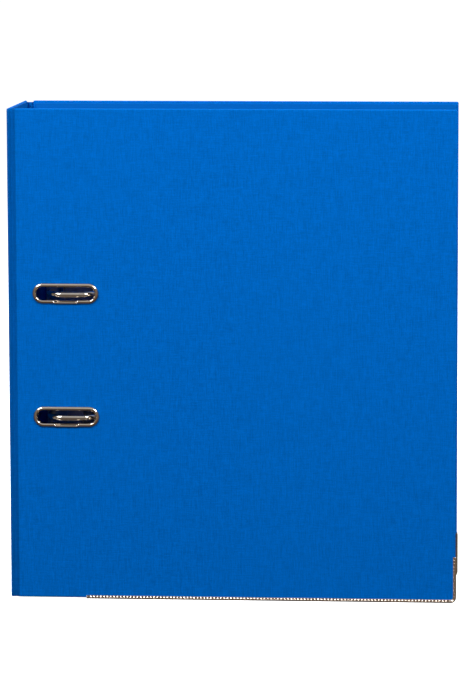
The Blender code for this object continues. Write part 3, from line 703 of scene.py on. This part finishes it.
def hinge_cloth(name, outer_y, inward, outer, inner, drop, nodes):
    """Cloth of a hinge: wraps the spine's edge, dips into a groove and meets the cover."""
    across = [(a / 1000, d / 1000) for a, d in smooth_line(outer, 5)]
    inside = [(a / 1000, d / 1000) for a, d in smooth_line(inner, 5)]
    section = across + inside
    middle = []
    for along, deep in section:
        other = inside if (along, deep) in across else across
        near = min(other, key=lambda place: (place[0] - along) ** 2 + (place[1] - deep) ** 2)
        middle.append(((along + near[0]) / 2, (deep + near[1]) / 2))
    top = TOP_Z - drop
    heights = [BOTTOM_Z + 0.0002, BOTTOM_Z + 0.0005]
    count = 72
    for index in range(count + 1):
        heights.append(BOTTOM_Z + 0.0009 + (top - BOTTOM_Z - 0.0018) * index / count)
    heights += [top - 0.0004, top]
    rows = []
    for number, height in enumerate(heights):
        thin = {0: 0.3, 1: 0.75, len(heights) - 1: 0.3, len(heights) - 2: 0.75}.get(number, 1.0)
        row = []
        for (along, deep), (mid_a, mid_d) in zip(section, middle):
            row.append((x_at(mid_a + (along - mid_a) * thin),
                        outer_y + inward * (mid_d + (deep - mid_d) * thin), height))
        rows.append(row)
    strip = swept(name, rows)
    settle(strip, HINGE_SHADED_CLOTH, None, nodes, 60)
    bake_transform(strip)


SPINE_OUTSIDE = [(0.10, 3.3), (-0.02, 2.8), (-0.03, 2.1), (0.12, 1.38), (0.42, 0.84), (0.86, 0.40),
                 (1.34, 0.12), (1.72, 0.03)]            # sections of hinge cloth, in millimetres
SPINE_INSIDE = [(1.70, 0.62), (1.22, 0.72), (0.84, 1.12), (0.52, 1.70), (0.42, 2.3), (0.45, 3.0)]


def build_hinge(side, edge, outer_y, inward, outer_groove, inner, drop):
    start = edge * 1000
    outer = [*SPINE_OUTSIDE, *outer_groove, (start - 0.22, 0.40), (start + 0.35, 0.09),
             (start + 0.80, -0.03), (start + 1.10, 0.06)]
    inner = [(start + 0.80, 0.45), *inner, *SPINE_INSIDE]
    hinge_cloth(f"{side}_hinge_cloth", outer_y, inward, outer, inner, drop, [f"{side}_hinge_strip"])


def build_hinges():
    edge = FRONT_EDGE * 1000
    build_hinge("front", FRONT_EDGE, FRONT_Y, 1,
                [(2.15, 0.22), (2.70, 0.66), (3.35, 0.88), (4.00, 0.72)],
                [(edge + 0.20, 0.72), (edge - 0.35, 1.10), (3.90, 1.30), (3.30, 1.42), (2.60, 1.25),
                 (2.05, 0.90)], 0.0002)
    edge = BACK_EDGE * 1000
    build_hinge("back", BACK_EDGE, BACK_Y, -1,
                [(2.20, 0.24), (2.90, 0.72), (3.70, 0.95), (4.90, 0.80)],
                [(edge + 0.10, 0.80), (edge - 0.20, 1.15), (edge - 0.70, 1.75), (4.70, 2.20),
                 (3.90, 2.30), (3.10, 2.15), (2.60, 1.70), (2.30, 1.15), (1.95, 0.80)], 0.0010)


# ---------------------------------------------------------------- metal on the case

def eyelet(ring_name, centre_z):
    """Slot eyelet: a rolled rim with a dip in its lower run, a wall and a turned-over end."""
    centre_x = x_at(SLOT_X)
    inside = WALL_T + 0.0003
    profile = [
        (0.00425, inside + 0.0001), (0.00425, 0.0000), (0.00428, -0.00045), (0.00442, -0.00080),
        (0.00472, -0.00106), (0.00512, -0.00119), (0.00556, -0.00114), (0.00596, -0.00096),
        (0.00632, -0.00070), (0.00660, -0.00036), (0.00670, -0.00004), (0.00640, -0.00002),
        (0.00505, -0.00002), (0.00485, 0.00012), (0.00485, inside - 0.0002),
        (0.00500, inside + 0.00002), (0.00605, inside + 0.00003), (0.00620, inside + 0.00018),
        (0.00612, inside + 0.00036), (0.00560, inside + 0.00048), (0.00470, inside + 0.00046),
        (0.00434, inside + 0.00026),
    ]
    places = []
    straight_steps = 64
    round_steps = 28
    dip_half = 0.0079
    dip_ease = 0.0010
    for side in (1, -1):
        for step in range(round_steps):
            angle = side * math.pi / 2 - math.pi * step / round_steps
            places.append((side * SLOT_STRAIGHT, math.cos(angle), math.sin(angle)))
        for step in range(straight_steps):
            along = side * (SLOT_STRAIGHT - 2 * SLOT_STRAIGHT * step / straight_steps)
            places.append((along, 0.0, -side * 1.0))
    sections = []
    for along, out_x, out_z in places:
        dip = 0.0
        if out_z < -0.5 and abs(along) < dip_half:
            dip = min(1.0, (dip_half - abs(along)) / dip_ease)
            dip = dip * dip * (3 - 2 * dip)
        section = []
        for radius, rise in profile:
            depth = min(1.0, max(0.0, (0.0002 - rise) / 0.0004))
            inner = min(1.0, max(0.0, (0.0062 - radius) / 0.0019))
            shift = dip * depth * (0.00025 + 0.00080 * inner)
            lower = dip * 0.00022 * inner if rise < -0.0005 else 0.0
            section.append((centre_x + along + out_x * (radius + shift),
                            FRONT_Y + rise + lower,
                            centre_z + out_z * (radius + shift)))
        sections.append(section)
    rim = swept(f"slot_eyelet_{ring_name}", sections, closed=True)
    settle(rim, NICKEL, "front_cover", [f"eyelet_{ring_name}"], 60)


TOOTH_PITCH = 0.00217


def tooth_wave(along):
    """1 on a tooth of the protector's lip and 0 between teeth."""
    ease = 0.00020
    place = along % TOOTH_PITCH
    return max(0.0, min(1.0, place / ease, (TOOTH_PITCH * 0.47 - place) / ease))


LIP_ON_TOOTH = [(0.0, 0.00112), (0.00008, 0.00132), (0.00026, 0.00160), (0.00044, 0.00188),
                (0.00057, 0.00209), (0.00061, 0.00222), (0.00062, 0.00120)]
LIP_IN_GAP = [(0.00001, 0.00106), (0.00030, 0.00113), (0.00057, 0.00120), (0.00052, 0.00160),
              (0.00046, 0.00200), (0.00060, 0.00212), (0.00062, 0.00100)]


def edge_protector(name, outer_y, inward, body, node):
    """Sheet metal channel with a toothed lip on both sides of a cover's edge."""
    low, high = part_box(node)
    left = low.x
    right = high.x
    leg_top = high.z
    corner_r = FREE_CORNER_R + STAND
    bottom_length = right - corner_r - left
    arc_length = corner_r * math.pi / 2
    leg_length = leg_top - corner_r
    total = bottom_length + arc_length + leg_length
    stops = [0.0, 0.00012]
    step = TOOTH_PITCH / 12
    while stops[-1] + step < total - 0.00015:
        stops.append(stops[-1] + step)
    stops += [total - 0.00012, total]
    notch = bottom_length - 0.0018                      # the lip is cut before it goes round
    end_round = 0.0004
    sections = []
    for along in stops:
        if along <= bottom_length:
            base = Vector((left + along, 0, 0))
            inner = Vector((0, 0, 1))
        elif along <= bottom_length + arc_length:
            angle = (along - bottom_length) / corner_r
            centre = Vector((right - corner_r, 0, corner_r))
            out = Vector((math.sin(angle), 0, -math.cos(angle)))
            base = centre + out * corner_r
            inner = -out
        else:
            base = Vector((right, 0, corner_r + along - bottom_length - arc_length))
            inner = Vector((-1, 0, 0))
        near_corner = bottom_length - 0.0012 < along < bottom_length + arc_length + 0.0004
        tooth = tooth_wave(along)
        if near_corner:
            tooth = 0.85
        if abs(along - notch) < 0.00045:
            tooth = 0.0
        if total - along < 0.0012 or along < 0.0009:
            tooth = 0.15
        ends = min(along, total - along)
        flat = 1.0 if ends > end_round else 0.45 + 0.55 * math.sin(ends / end_round * math.pi / 2)
        width = BOARD_T + 2 * STAND
        cleft = 1.0 - tooth
        if along > bottom_length + arc_length:
            cleft *= 0.8
        half = [(0.00055, 0.0), (0.00022, 0.00010), (0.00004, 0.00036), (0.0, 0.00064)]
        for (tooth_a, tooth_d), (gap_a, gap_d) in zip(LIP_ON_TOOTH, LIP_IN_GAP):
            half.append((tooth_a + (gap_a - tooth_a) * cleft, tooth_d + (gap_d - tooth_d) * cleft))
        half += [(0.00049, 0.00080), (0.00066, 0.00040)]
        section = []
        for across, deep in half:
            lift = STAND - (STAND - across) * flat
            section.append((lift, deep))
        section += [(width - across, deep) for across, deep in reversed(section)]
        ring = []
        for across, deep in section:
            point = base + inner * deep
            ring.append((point.x, outer_y - inward * (STAND - across), max(point.z, 0.0)))
        sections.append(ring)
    piece = swept(name, sections)
    settle(piece, NICKEL_EDGE, body, [node], 45)


def finger_ring():
    rim_in = -0.00002
    radius = 0.0120
    wall = 0.0126
    rim = 0.0155
    profile = [
        (wall, WALL_T + 0.0002), (wall, rim_in), (rim - 0.0002, rim_in), (rim, -0.00022),
        (rim - 0.00018, -0.00055), (rim - 0.00060, -0.00083), (rim - 0.00125, -0.00098),
        (rim - 0.00200, -0.00098), (rim - 0.00270, -0.00084), (radius + 0.00030, -0.00056),
        (radius + 0.00006, -0.00020), (radius, 0.00020), (radius, WALL_T + 0.0002),
        (radius + 0.00012, WALL_T + 0.0004), (wall - 0.00012, WALL_T + 0.0004),
    ]
    ring = turned("finger_ring_rim", profile, "X", (SPINE_X, FINGER[0], FINGER[1]), 96)
    settle(ring, NICKEL, "spine", ["finger_ring"], 50)
    low = WALL_T + 0.00004
    inner = wall + 0.0001
    outer = rim - 0.0005
    profile = [
        (outer - 0.0002, low), (inner, low), (inner, low + 0.00045), (inner + 0.0003, low + 0.00068),
        (outer - 0.0008, low + 0.00066), (outer, low + 0.00022),
    ]
    washer = turned("finger_ring_back", profile, "X", (SPINE_X, FINGER[0], FINGER[1]), 96)
    settle(washer, NICKEL, "spine", ["finger_ring_washer"], 50)


def spine_label():
    outline = rectangle(LABEL_LOW.y, LABEL_LOW.z, LABEL_HIGH.y, LABEL_HIGH.z, 0.0022)
    card = slab("spine_label_card", [outline], LABEL_LOW.x, x_at(-0.00002), FACE_X, 0.0001, 2)
    settle(card, CARD, "spine", ["spine_label"], planes=True)


# ---------------------------------------------------------------- the mechanism

SHAFT_X = 0.0252
SHAFT_H = 0.0058
POST_X = 0.0556
WIRE_R = 0.0019
ARCH_R = 0.0100
CROWN_H = 0.0749
TIP_H = 0.0590
CRANK_LOW_Z = 0.143
CRANK_HIGH_Z = 0.177
PIVOT_H = 0.0174
PIVOT_Z = 0.163
LEVER_X = 0.0347
LEVER_HALF = 0.0057
LEVER_SHEET = 0.0012
PIVOT_BORE_R = 0.0018
BRACKET_HALF = LEVER_HALF + 0.0003 + LEVER_SHEET
ROLLER_LOW, ROLLER_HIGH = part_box("pressure_roller")
ROLLER_Y = (ROLLER_LOW.y + ROLLER_HIGH.y) / 2
ROLLER_Z = (ROLLER_LOW.z + ROLLER_HIGH.z) / 2


def lever_span(half):
    """Both X limits of something centred on the lever."""
    return x_at(LEVER_X - half), x_at(LEVER_X + half)


def bead(name, centre_x, low_z, high_z, half_width, rise, base_h):
    """A long pressed bead standing on the base plate."""
    rows = []
    along_steps = 40
    across_steps = 12
    for index in range(along_steps + 1):
        z = low_z + (high_z - low_z) * index / along_steps
        to_end = min(z - low_z, high_z - z)
        size = min(1.0, to_end / (half_width * 1.5))
        size = math.sqrt(max(0.0, 1 - (1 - size) ** 2))
        size = max(size, 0.02)
        row = []
        for side in range(across_steps + 1):
            angle = math.pi * side / across_steps
            row.append((centre_x - half_width * size * math.cos(angle),
                        y_at(base_h + rise * size * math.sin(angle) ** 1.5), z))
        rows.append(row)
    return swept(name, rows)


def base_plate():
    low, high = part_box("base_plate")
    outline = rectangle(low.x, low.z, high.x, high.z, 0.006, 12)
    plate = slab("mechanism_plate", [outline, *RIVET_HOLES], low.y, high.y, FACE_Y, 0.0003, 3)
    top = PLATE_TOP_H - 0.00005
    beads = [
        bead("bead_a", x_at(0.0455), 0.094, 0.222, 0.0016, 0.0009, top),
        bead("bead_b", x_at(0.0162), 0.098, 0.218, 0.0011, 0.0007, top),
        bead("bead_c", x_at(0.0300), 0.0865, 0.1130, 0.0014, 0.0008, top),
        bead("bead_d", x_at(0.0300), 0.2030, 0.2295, 0.0014, 0.0008, top),
    ]
    plate = joined("mechanism_plate", plate, *beads)
    settle(plate, STEEL, "back_cover", ["base_plate"], planes=True)


def rivets():
    for number, place in enumerate(RIVETS, start=1):
        inner = PLATE_TOP_H + 0.00002
        inner_y = y_at(inner) - BACK_Y
        head = 0.0045
        shank = 0.0020
        curl = 0.0035
        profile = [(0, 0.00120)]
        for step in range(1, 9):
            angle = math.pi / 2 * step / 8
            profile.append((head * math.sin(angle), 0.00012 + 0.00108 * math.cos(angle)))
        profile += [(head - 0.0001, 0.00002), (shank, 0.00002), (shank, inner_y),
                    (curl - 0.0001, inner_y), (curl, inner_y - 0.0003)]
        for step in range(1, 7):
            angle = math.pi / 2 * step / 6
            profile.append((curl - 0.0012 * (1 - math.cos(angle)),
                            inner_y - 0.0003 - 0.0005 * math.sin(angle)))
        profile += [(0.0012, inner_y - 0.0007), (0.0009, inner_y - 0.0002), (0, inner_y - 0.0002)]
        made = turned(f"mechanism_rivet_{number}", profile, "Y", (place[0], BACK_Y, place[1]), 32)
        settle(made, STEEL, "back_cover", [f"rivet_{number}"], 50)


def posts():
    for ring_name, height in RINGS:
        foot = PLATE_TOP_H + 0.00002
        top = TIP_H - 0.0005
        radius = 0.0021
        profile = [
            (0, top), (0.0007, top), (0.00105, top - 0.0001), (0.00125, top - 0.0004),
            (radius - 0.0002, top - 0.0013), (radius, top - 0.0019),
            (radius, foot + 0.0024), (radius + 0.0003, foot + 0.0018),
            (0.0031, foot + 0.0015), (0.0035, foot + 0.0011), (0.0035, foot + 0.0002),
            (0.0034, foot), (0, foot),
        ]
        flipped = [(radius_at, -along) for radius_at, along in profile]
        made = turned(f"paper_post_{ring_name}", flipped, "Y", (x_at(POST_X), y_at(0), height), 32)
        settle(made, WIRE, "back_cover", [f"post_{ring_name}"], 50)


def arches():
    low_z, high_z = RINGS[0][1], RINGS[1][1]
    crank_x = SHAFT_X + 0.0100
    bend = 0.0050
    crank_bend = 0.0035
    route = [
        (POST_X, TIP_H, high_z, 0), (POST_X, CROWN_H, high_z, ARCH_R),
        (SHAFT_X, CROWN_H, high_z, ARCH_R), (SHAFT_X, SHAFT_H, high_z, bend),
        (SHAFT_X, SHAFT_H, CRANK_HIGH_Z, crank_bend), (crank_x, SHAFT_H, CRANK_HIGH_Z, crank_bend),
        (crank_x, SHAFT_H, CRANK_LOW_Z, crank_bend), (SHAFT_X, SHAFT_H, CRANK_LOW_Z, crank_bend),
        (SHAFT_X, SHAFT_H, low_z, bend), (SHAFT_X, CROWN_H, low_z, ARCH_R),
        (POST_X, CROWN_H, low_z, ARCH_R), (POST_X, TIP_H, low_z, 0),
    ]
    corners = [((x_at(x), y_at(h), z), radius) for x, h, z, radius in route]
    points = rounded(corners, closed=False, steps=14)
    wire = tube("arch_wire_bent", points, WIRE_R, 8)
    wire = soften(wire, 0.0005, 3, 60)
    settle(wire, WIRE, "arches", ["arch_wire"], 50)


def saddles():
    for ring_name, low_z, high_z in (("lower", 0.1250, 0.1310), ("upper", 0.1840, 0.1900)):
        foot = PLATE_TOP_H + 0.00004
        bore = WIRE_R + 0.00035
        shell = bore + 0.0010
        flank = [(-0.0075, foot), (-0.0075, foot + 0.0008), (-0.0072, foot + 0.0010),
                 (-shell - 0.0008, foot + 0.0010), (-shell - 0.0003, foot + 0.0013)]
        outline = list(flank)
        for step in range(17):
            angle = math.pi - math.pi * step / 16
            outline.append((shell * math.cos(angle), SHAFT_H + shell * math.sin(angle)))
        outline += [(-x, height) for x, height in reversed(flank)]
        outline += [(bore, foot), (bore, SHAFT_H)]
        for step in range(1, 16):
            angle = math.pi * step / 16
            outline.append((bore * math.cos(angle), SHAFT_H + bore * math.sin(angle)))
        outline += [(-bore, SHAFT_H), (-bore, foot)]
        rows = []
        for z in (low_z, high_z):
            rows.append([(x_at(SHAFT_X + x), y_at(h), z) for x, h in outline])
        made = swept(f"shaft_saddle_{ring_name}_pressed", rows)
        made = soften(made, 0.00015, 2, 50)
        settle(made, STEEL, "back_cover", [f"shaft_saddle_{ring_name}"], planes=True)


def spring():
    coil_r = 0.0030
    steps = 28
    turns = 4
    pitch = 0.0013
    start_z = 0.1340
    points = [Vector((x_at(SHAFT_X - 0.009), y_at(SHAFT_H - coil_r), start_z))]
    for step in range(turns * steps + 1):
        angle = -math.pi / 2 + 2 * math.pi * step / steps
        points.append(Vector((x_at(SHAFT_X) + coil_r * math.cos(angle),
                              y_at(SHAFT_H + coil_r * math.sin(angle)),
                              start_z + pitch * step / steps)))
    end_z = start_z + pitch * turns
    for x, z in ((0.0040, end_z), (0.0055, end_z + 0.0008), (0.0062, end_z + 0.0020),
                 (0.0065, CRANK_LOW_Z)):
        points.append(Vector((x_at(SHAFT_X + x), y_at(SHAFT_H - coil_r), z)))
    wire = tube("arch_spring_coil", points, 0.0005, 3)
    settle(wire, SPRING, "back_cover", ["arch_spring"], 60)


def lever_bracket():
    foot = PLATE_TOP_H + 0.00004
    half = BRACKET_HALF
    top = PIVOT_H + 0.0036
    low_z = PIVOT_Z - 0.0060
    high_z = PIVOT_Z + 0.0060
    outline = side_outline([(foot, low_z, 0), (foot, high_z, 0), (top, high_z - 0.002, 0.0034),
                            (top, low_z + 0.002, 0.0034)])
    body = slab("lever_bracket_pressed", [outline], *lever_span(half), FACE_X, 0.0003, 2)
    inner = half - LEVER_SHEET
    throat_outline = rectangle(y_at(top + 0.01), low_z - 0.01, y_at(foot + 0.0010), high_z + 0.01, 0)
    throat = slab("throat", [throat_outline], *lever_span(inner), FACE_X)
    bore = rod("bore", "X", *lever_span(0.02), (y_at(PIVOT_H), PIVOT_Z), PIVOT_BORE_R)
    body = cut(body, throat, bore)
    flange_outline = rectangle(x_at(LEVER_X - half - 0.0030), low_z + 0.0006,
                               x_at(LEVER_X + half + 0.0030), high_z - 0.0006, 0.0015)
    flange = slab("flange", [flange_outline], y_at(foot + 0.0009), y_at(foot), FACE_Y, 0.0002, 2)
    body = joined("lever_bracket_pressed", body, flange)
    settle(body, STEEL, "back_cover", ["lever_bracket"], planes=True)


def lever():
    top = PIVOT_H + 0.0048
    bottom = PIVOT_H - 0.0048
    lobe = PIVOT_H - 0.0072
    rear_z = PIVOT_Z + 0.0048
    lobe_z = ROLLER_Z - 0.0036
    foot_z = PIVOT_Z - 0.080
    grip_t, rise, reach = 0.0014, 0.0085, 0.0095
    low = top - 0.0025
    side = [
        (top, rear_z, 0.0046), (bottom, rear_z, 0.0030), (lobe, lobe_z + 0.0052, 0.0020),
        (lobe, lobe_z, 0.0020), (bottom, lobe_z - 0.0050, 0.0020),
        (bottom + 0.0012, foot_z + 0.004, 0.0020), (low - grip_t, foot_z, 0.0020),
        (low - grip_t + rise * 0.35, foot_z - reach * 0.7, 0.0030), (low + rise, foot_z - reach, 0),
        (low + rise, foot_z - reach + grip_t, 0), (low + rise * 0.38, foot_z - reach * 0.55, 0.0030),
        (low, foot_z + 0.001, 0.0030),
    ]
    body = slab("operating_lever", [side_outline(side)], *lever_span(LEVER_HALF), FACE_X, 0.0006, 3)
    hollow_side = side_outline([
        (top - LEVER_SHEET, rear_z + 0.005, 0), (low - LEVER_SHEET, foot_z + 0.004, 0.002),
        (lobe - 0.005, foot_z + 0.004, 0), (lobe - 0.005, rear_z + 0.005, 0)])
    hollow = slab("hollow", [hollow_side], *lever_span(LEVER_HALF - LEVER_SHEET), FACE_X, 0.0005, 2)
    pivot = rod("pivot_bore", "X", *lever_span(0.02), (y_at(PIVOT_H), PIVOT_Z), PIVOT_BORE_R)
    roller = rod("roller_bore", "X", *lever_span(0.02), (ROLLER_Y, ROLLER_Z), 0.0016)
    body = cut(body, hollow, pivot, roller)
    settle(body, STEEL, "lever", ["lever"], planes=True)


def mirrored(profile):
    """A profile from the axis outwards, followed by its mirror image on the other side."""
    return profile + [(radius, -along) for radius, along in reversed(profile)]


def pins():
    roller_place = (x_at(LEVER_X), ROLLER_Y, ROLLER_Z)
    half = BRACKET_HALF + 0.00004
    radius = 0.0015
    head = radius + 0.0011
    profile = mirrored([(0, half + 0.0009), (head * 0.6, half + 0.00088), (head * 0.92, half + 0.0006),
                        (head, half + 0.0003), (head, half), (radius, half)])
    pin = turned("lever_pivot_pin", profile, "X", (x_at(LEVER_X), y_at(PIVOT_H), PIVOT_Z), 28)
    settle(pin, STEEL, "back_cover", ["lever_pin"], 50)
    half = LEVER_HALF + 0.0002
    radius = 0.0013
    profile = mirrored([(0, half), (radius * 0.8, half), (radius, half - 0.0002)])
    pin = turned("roller_pin_turned", profile, "X", roller_place, 28)
    settle(pin, STEEL, "lever", ["roller_pin"], 50)
    half = 0.0041
    profile = mirrored([(0.0016, half), (0.0033, half), (0.0036, half - 0.0003)])
    roller = turned("pressure_roller_turned", profile, "X", roller_place, 48)
    settle(roller, STEEL, "roller", ["pressure_roller"], 50)


def compressor():
    low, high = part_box("compressor_bar")
    sheet = 0.0012
    outline = rectangle(low.x, low.z, high.x, high.z, 0.0055, 12)
    bar = slab("compressor_bar_pressed", [outline], low.y, high.y, FACE_Y, 0.0010, 4)
    outline = rectangle(low.x + sheet, low.z + sheet, high.x - sheet, high.z - sheet, 0.0043, 12)
    hollow = slab("hollow", [outline], low.y + sheet, high.y + 0.002, FACE_Y)
    holes = [rod("hole", "Y", low.y - 0.002, high.y + 0.004, (x_at(POST_X), z), 0.0027)
             for _, z in RINGS]
    bar = cut(bar, hollow, *holes)
    settle(bar, STEEL, "compressor", ["compressor_bar"], planes=True)

    low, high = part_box("compressor_clip")
    foot = BACK_Y - WALL_T - high.y
    sheet = 0.0008
    rise = 0.0045
    half = 0.020
    middle = 0.158
    side = [
        (foot, -half + 0.004, 0.0024), (foot, half - 0.004, 0.0024), (foot + rise, half, 0),
        (foot + rise + sheet * 0.5, half - sheet, 0), (foot + sheet, half - 0.0046, 0.0020),
        (foot + sheet, -half + 0.0046, 0.0020), (foot + rise + sheet * 0.5, -half + sheet, 0),
        (foot + rise, -half, 0),
    ]
    outline = side_outline([(height, middle + z, radius) for height, z, radius in side])
    clip = slab("compressor_finger_clip", [outline], low.x, high.x, FACE_X, 0.0002, 2)
    settle(clip, NICKEL, "compressor", ["compressor_clip"], planes=True)


# ---------------------------------------------------------------- floor and assembly

def add_floor():
    mesh = bpy.data.meshes.new("floor")
    size = 14.0
    mesh.from_pydata([(-size, -size, 0), (size, -size, 0), (size, size, 0), (-size, size, 0)], [],
                     [(0, 1, 2, 3)])
    floor = new_object("floor", mesh)
    floor.location.z = -0.0001
    made = Surface("pale_floor", (0.93, 0.93, 0.93), 0.9)
    made.gloss(0.0)
    made.shader.inputs["Emission Color"].default_value = (1, 1, 1, 1)
    made.shader.inputs["Emission Strength"].default_value = 1.05
    grain = made.noise(3)
    made.colour(made.blend(grain, (0.925, 0.925, 0.925), (0.94, 0.94, 0.94)))
    mesh.materials.append(made.material)
    floor.visible_diffuse = False
    floor.visible_glossy = False
    floor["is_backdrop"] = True


def build():
    add_camera()
    add_lights()
    add_world()
    add_floor()
    slots = [stadium(x_at(SLOT_X), height + SLOT_RISE, SLOT_HOLE_R) for _, height in RINGS]
    build_cover("front", FRONT_EDGE, FRONT_Y, FRONT_Y + WALL_T, slots)
    build_cover("back", BACK_EDGE, BACK_Y, BACK_Y - WALL_T, RIVET_HOLES)
    build_spine()
    build_hinges()
    for ring_name, height in RINGS:
        eyelet(ring_name, height + SLOT_RISE)
    edge_protector("front_protector_metal", FRONT_Y, 1, "front_cover", "front_edge_protector")
    edge_protector("back_protector_metal", BACK_Y, -1, "back_cover", "back_edge_protector")
    for make in (finger_ring, spine_label, base_plate, rivets, posts, arches, saddles, spring,
                 lever_bracket, lever, pins, compressor):
        make()


build()
low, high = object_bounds()
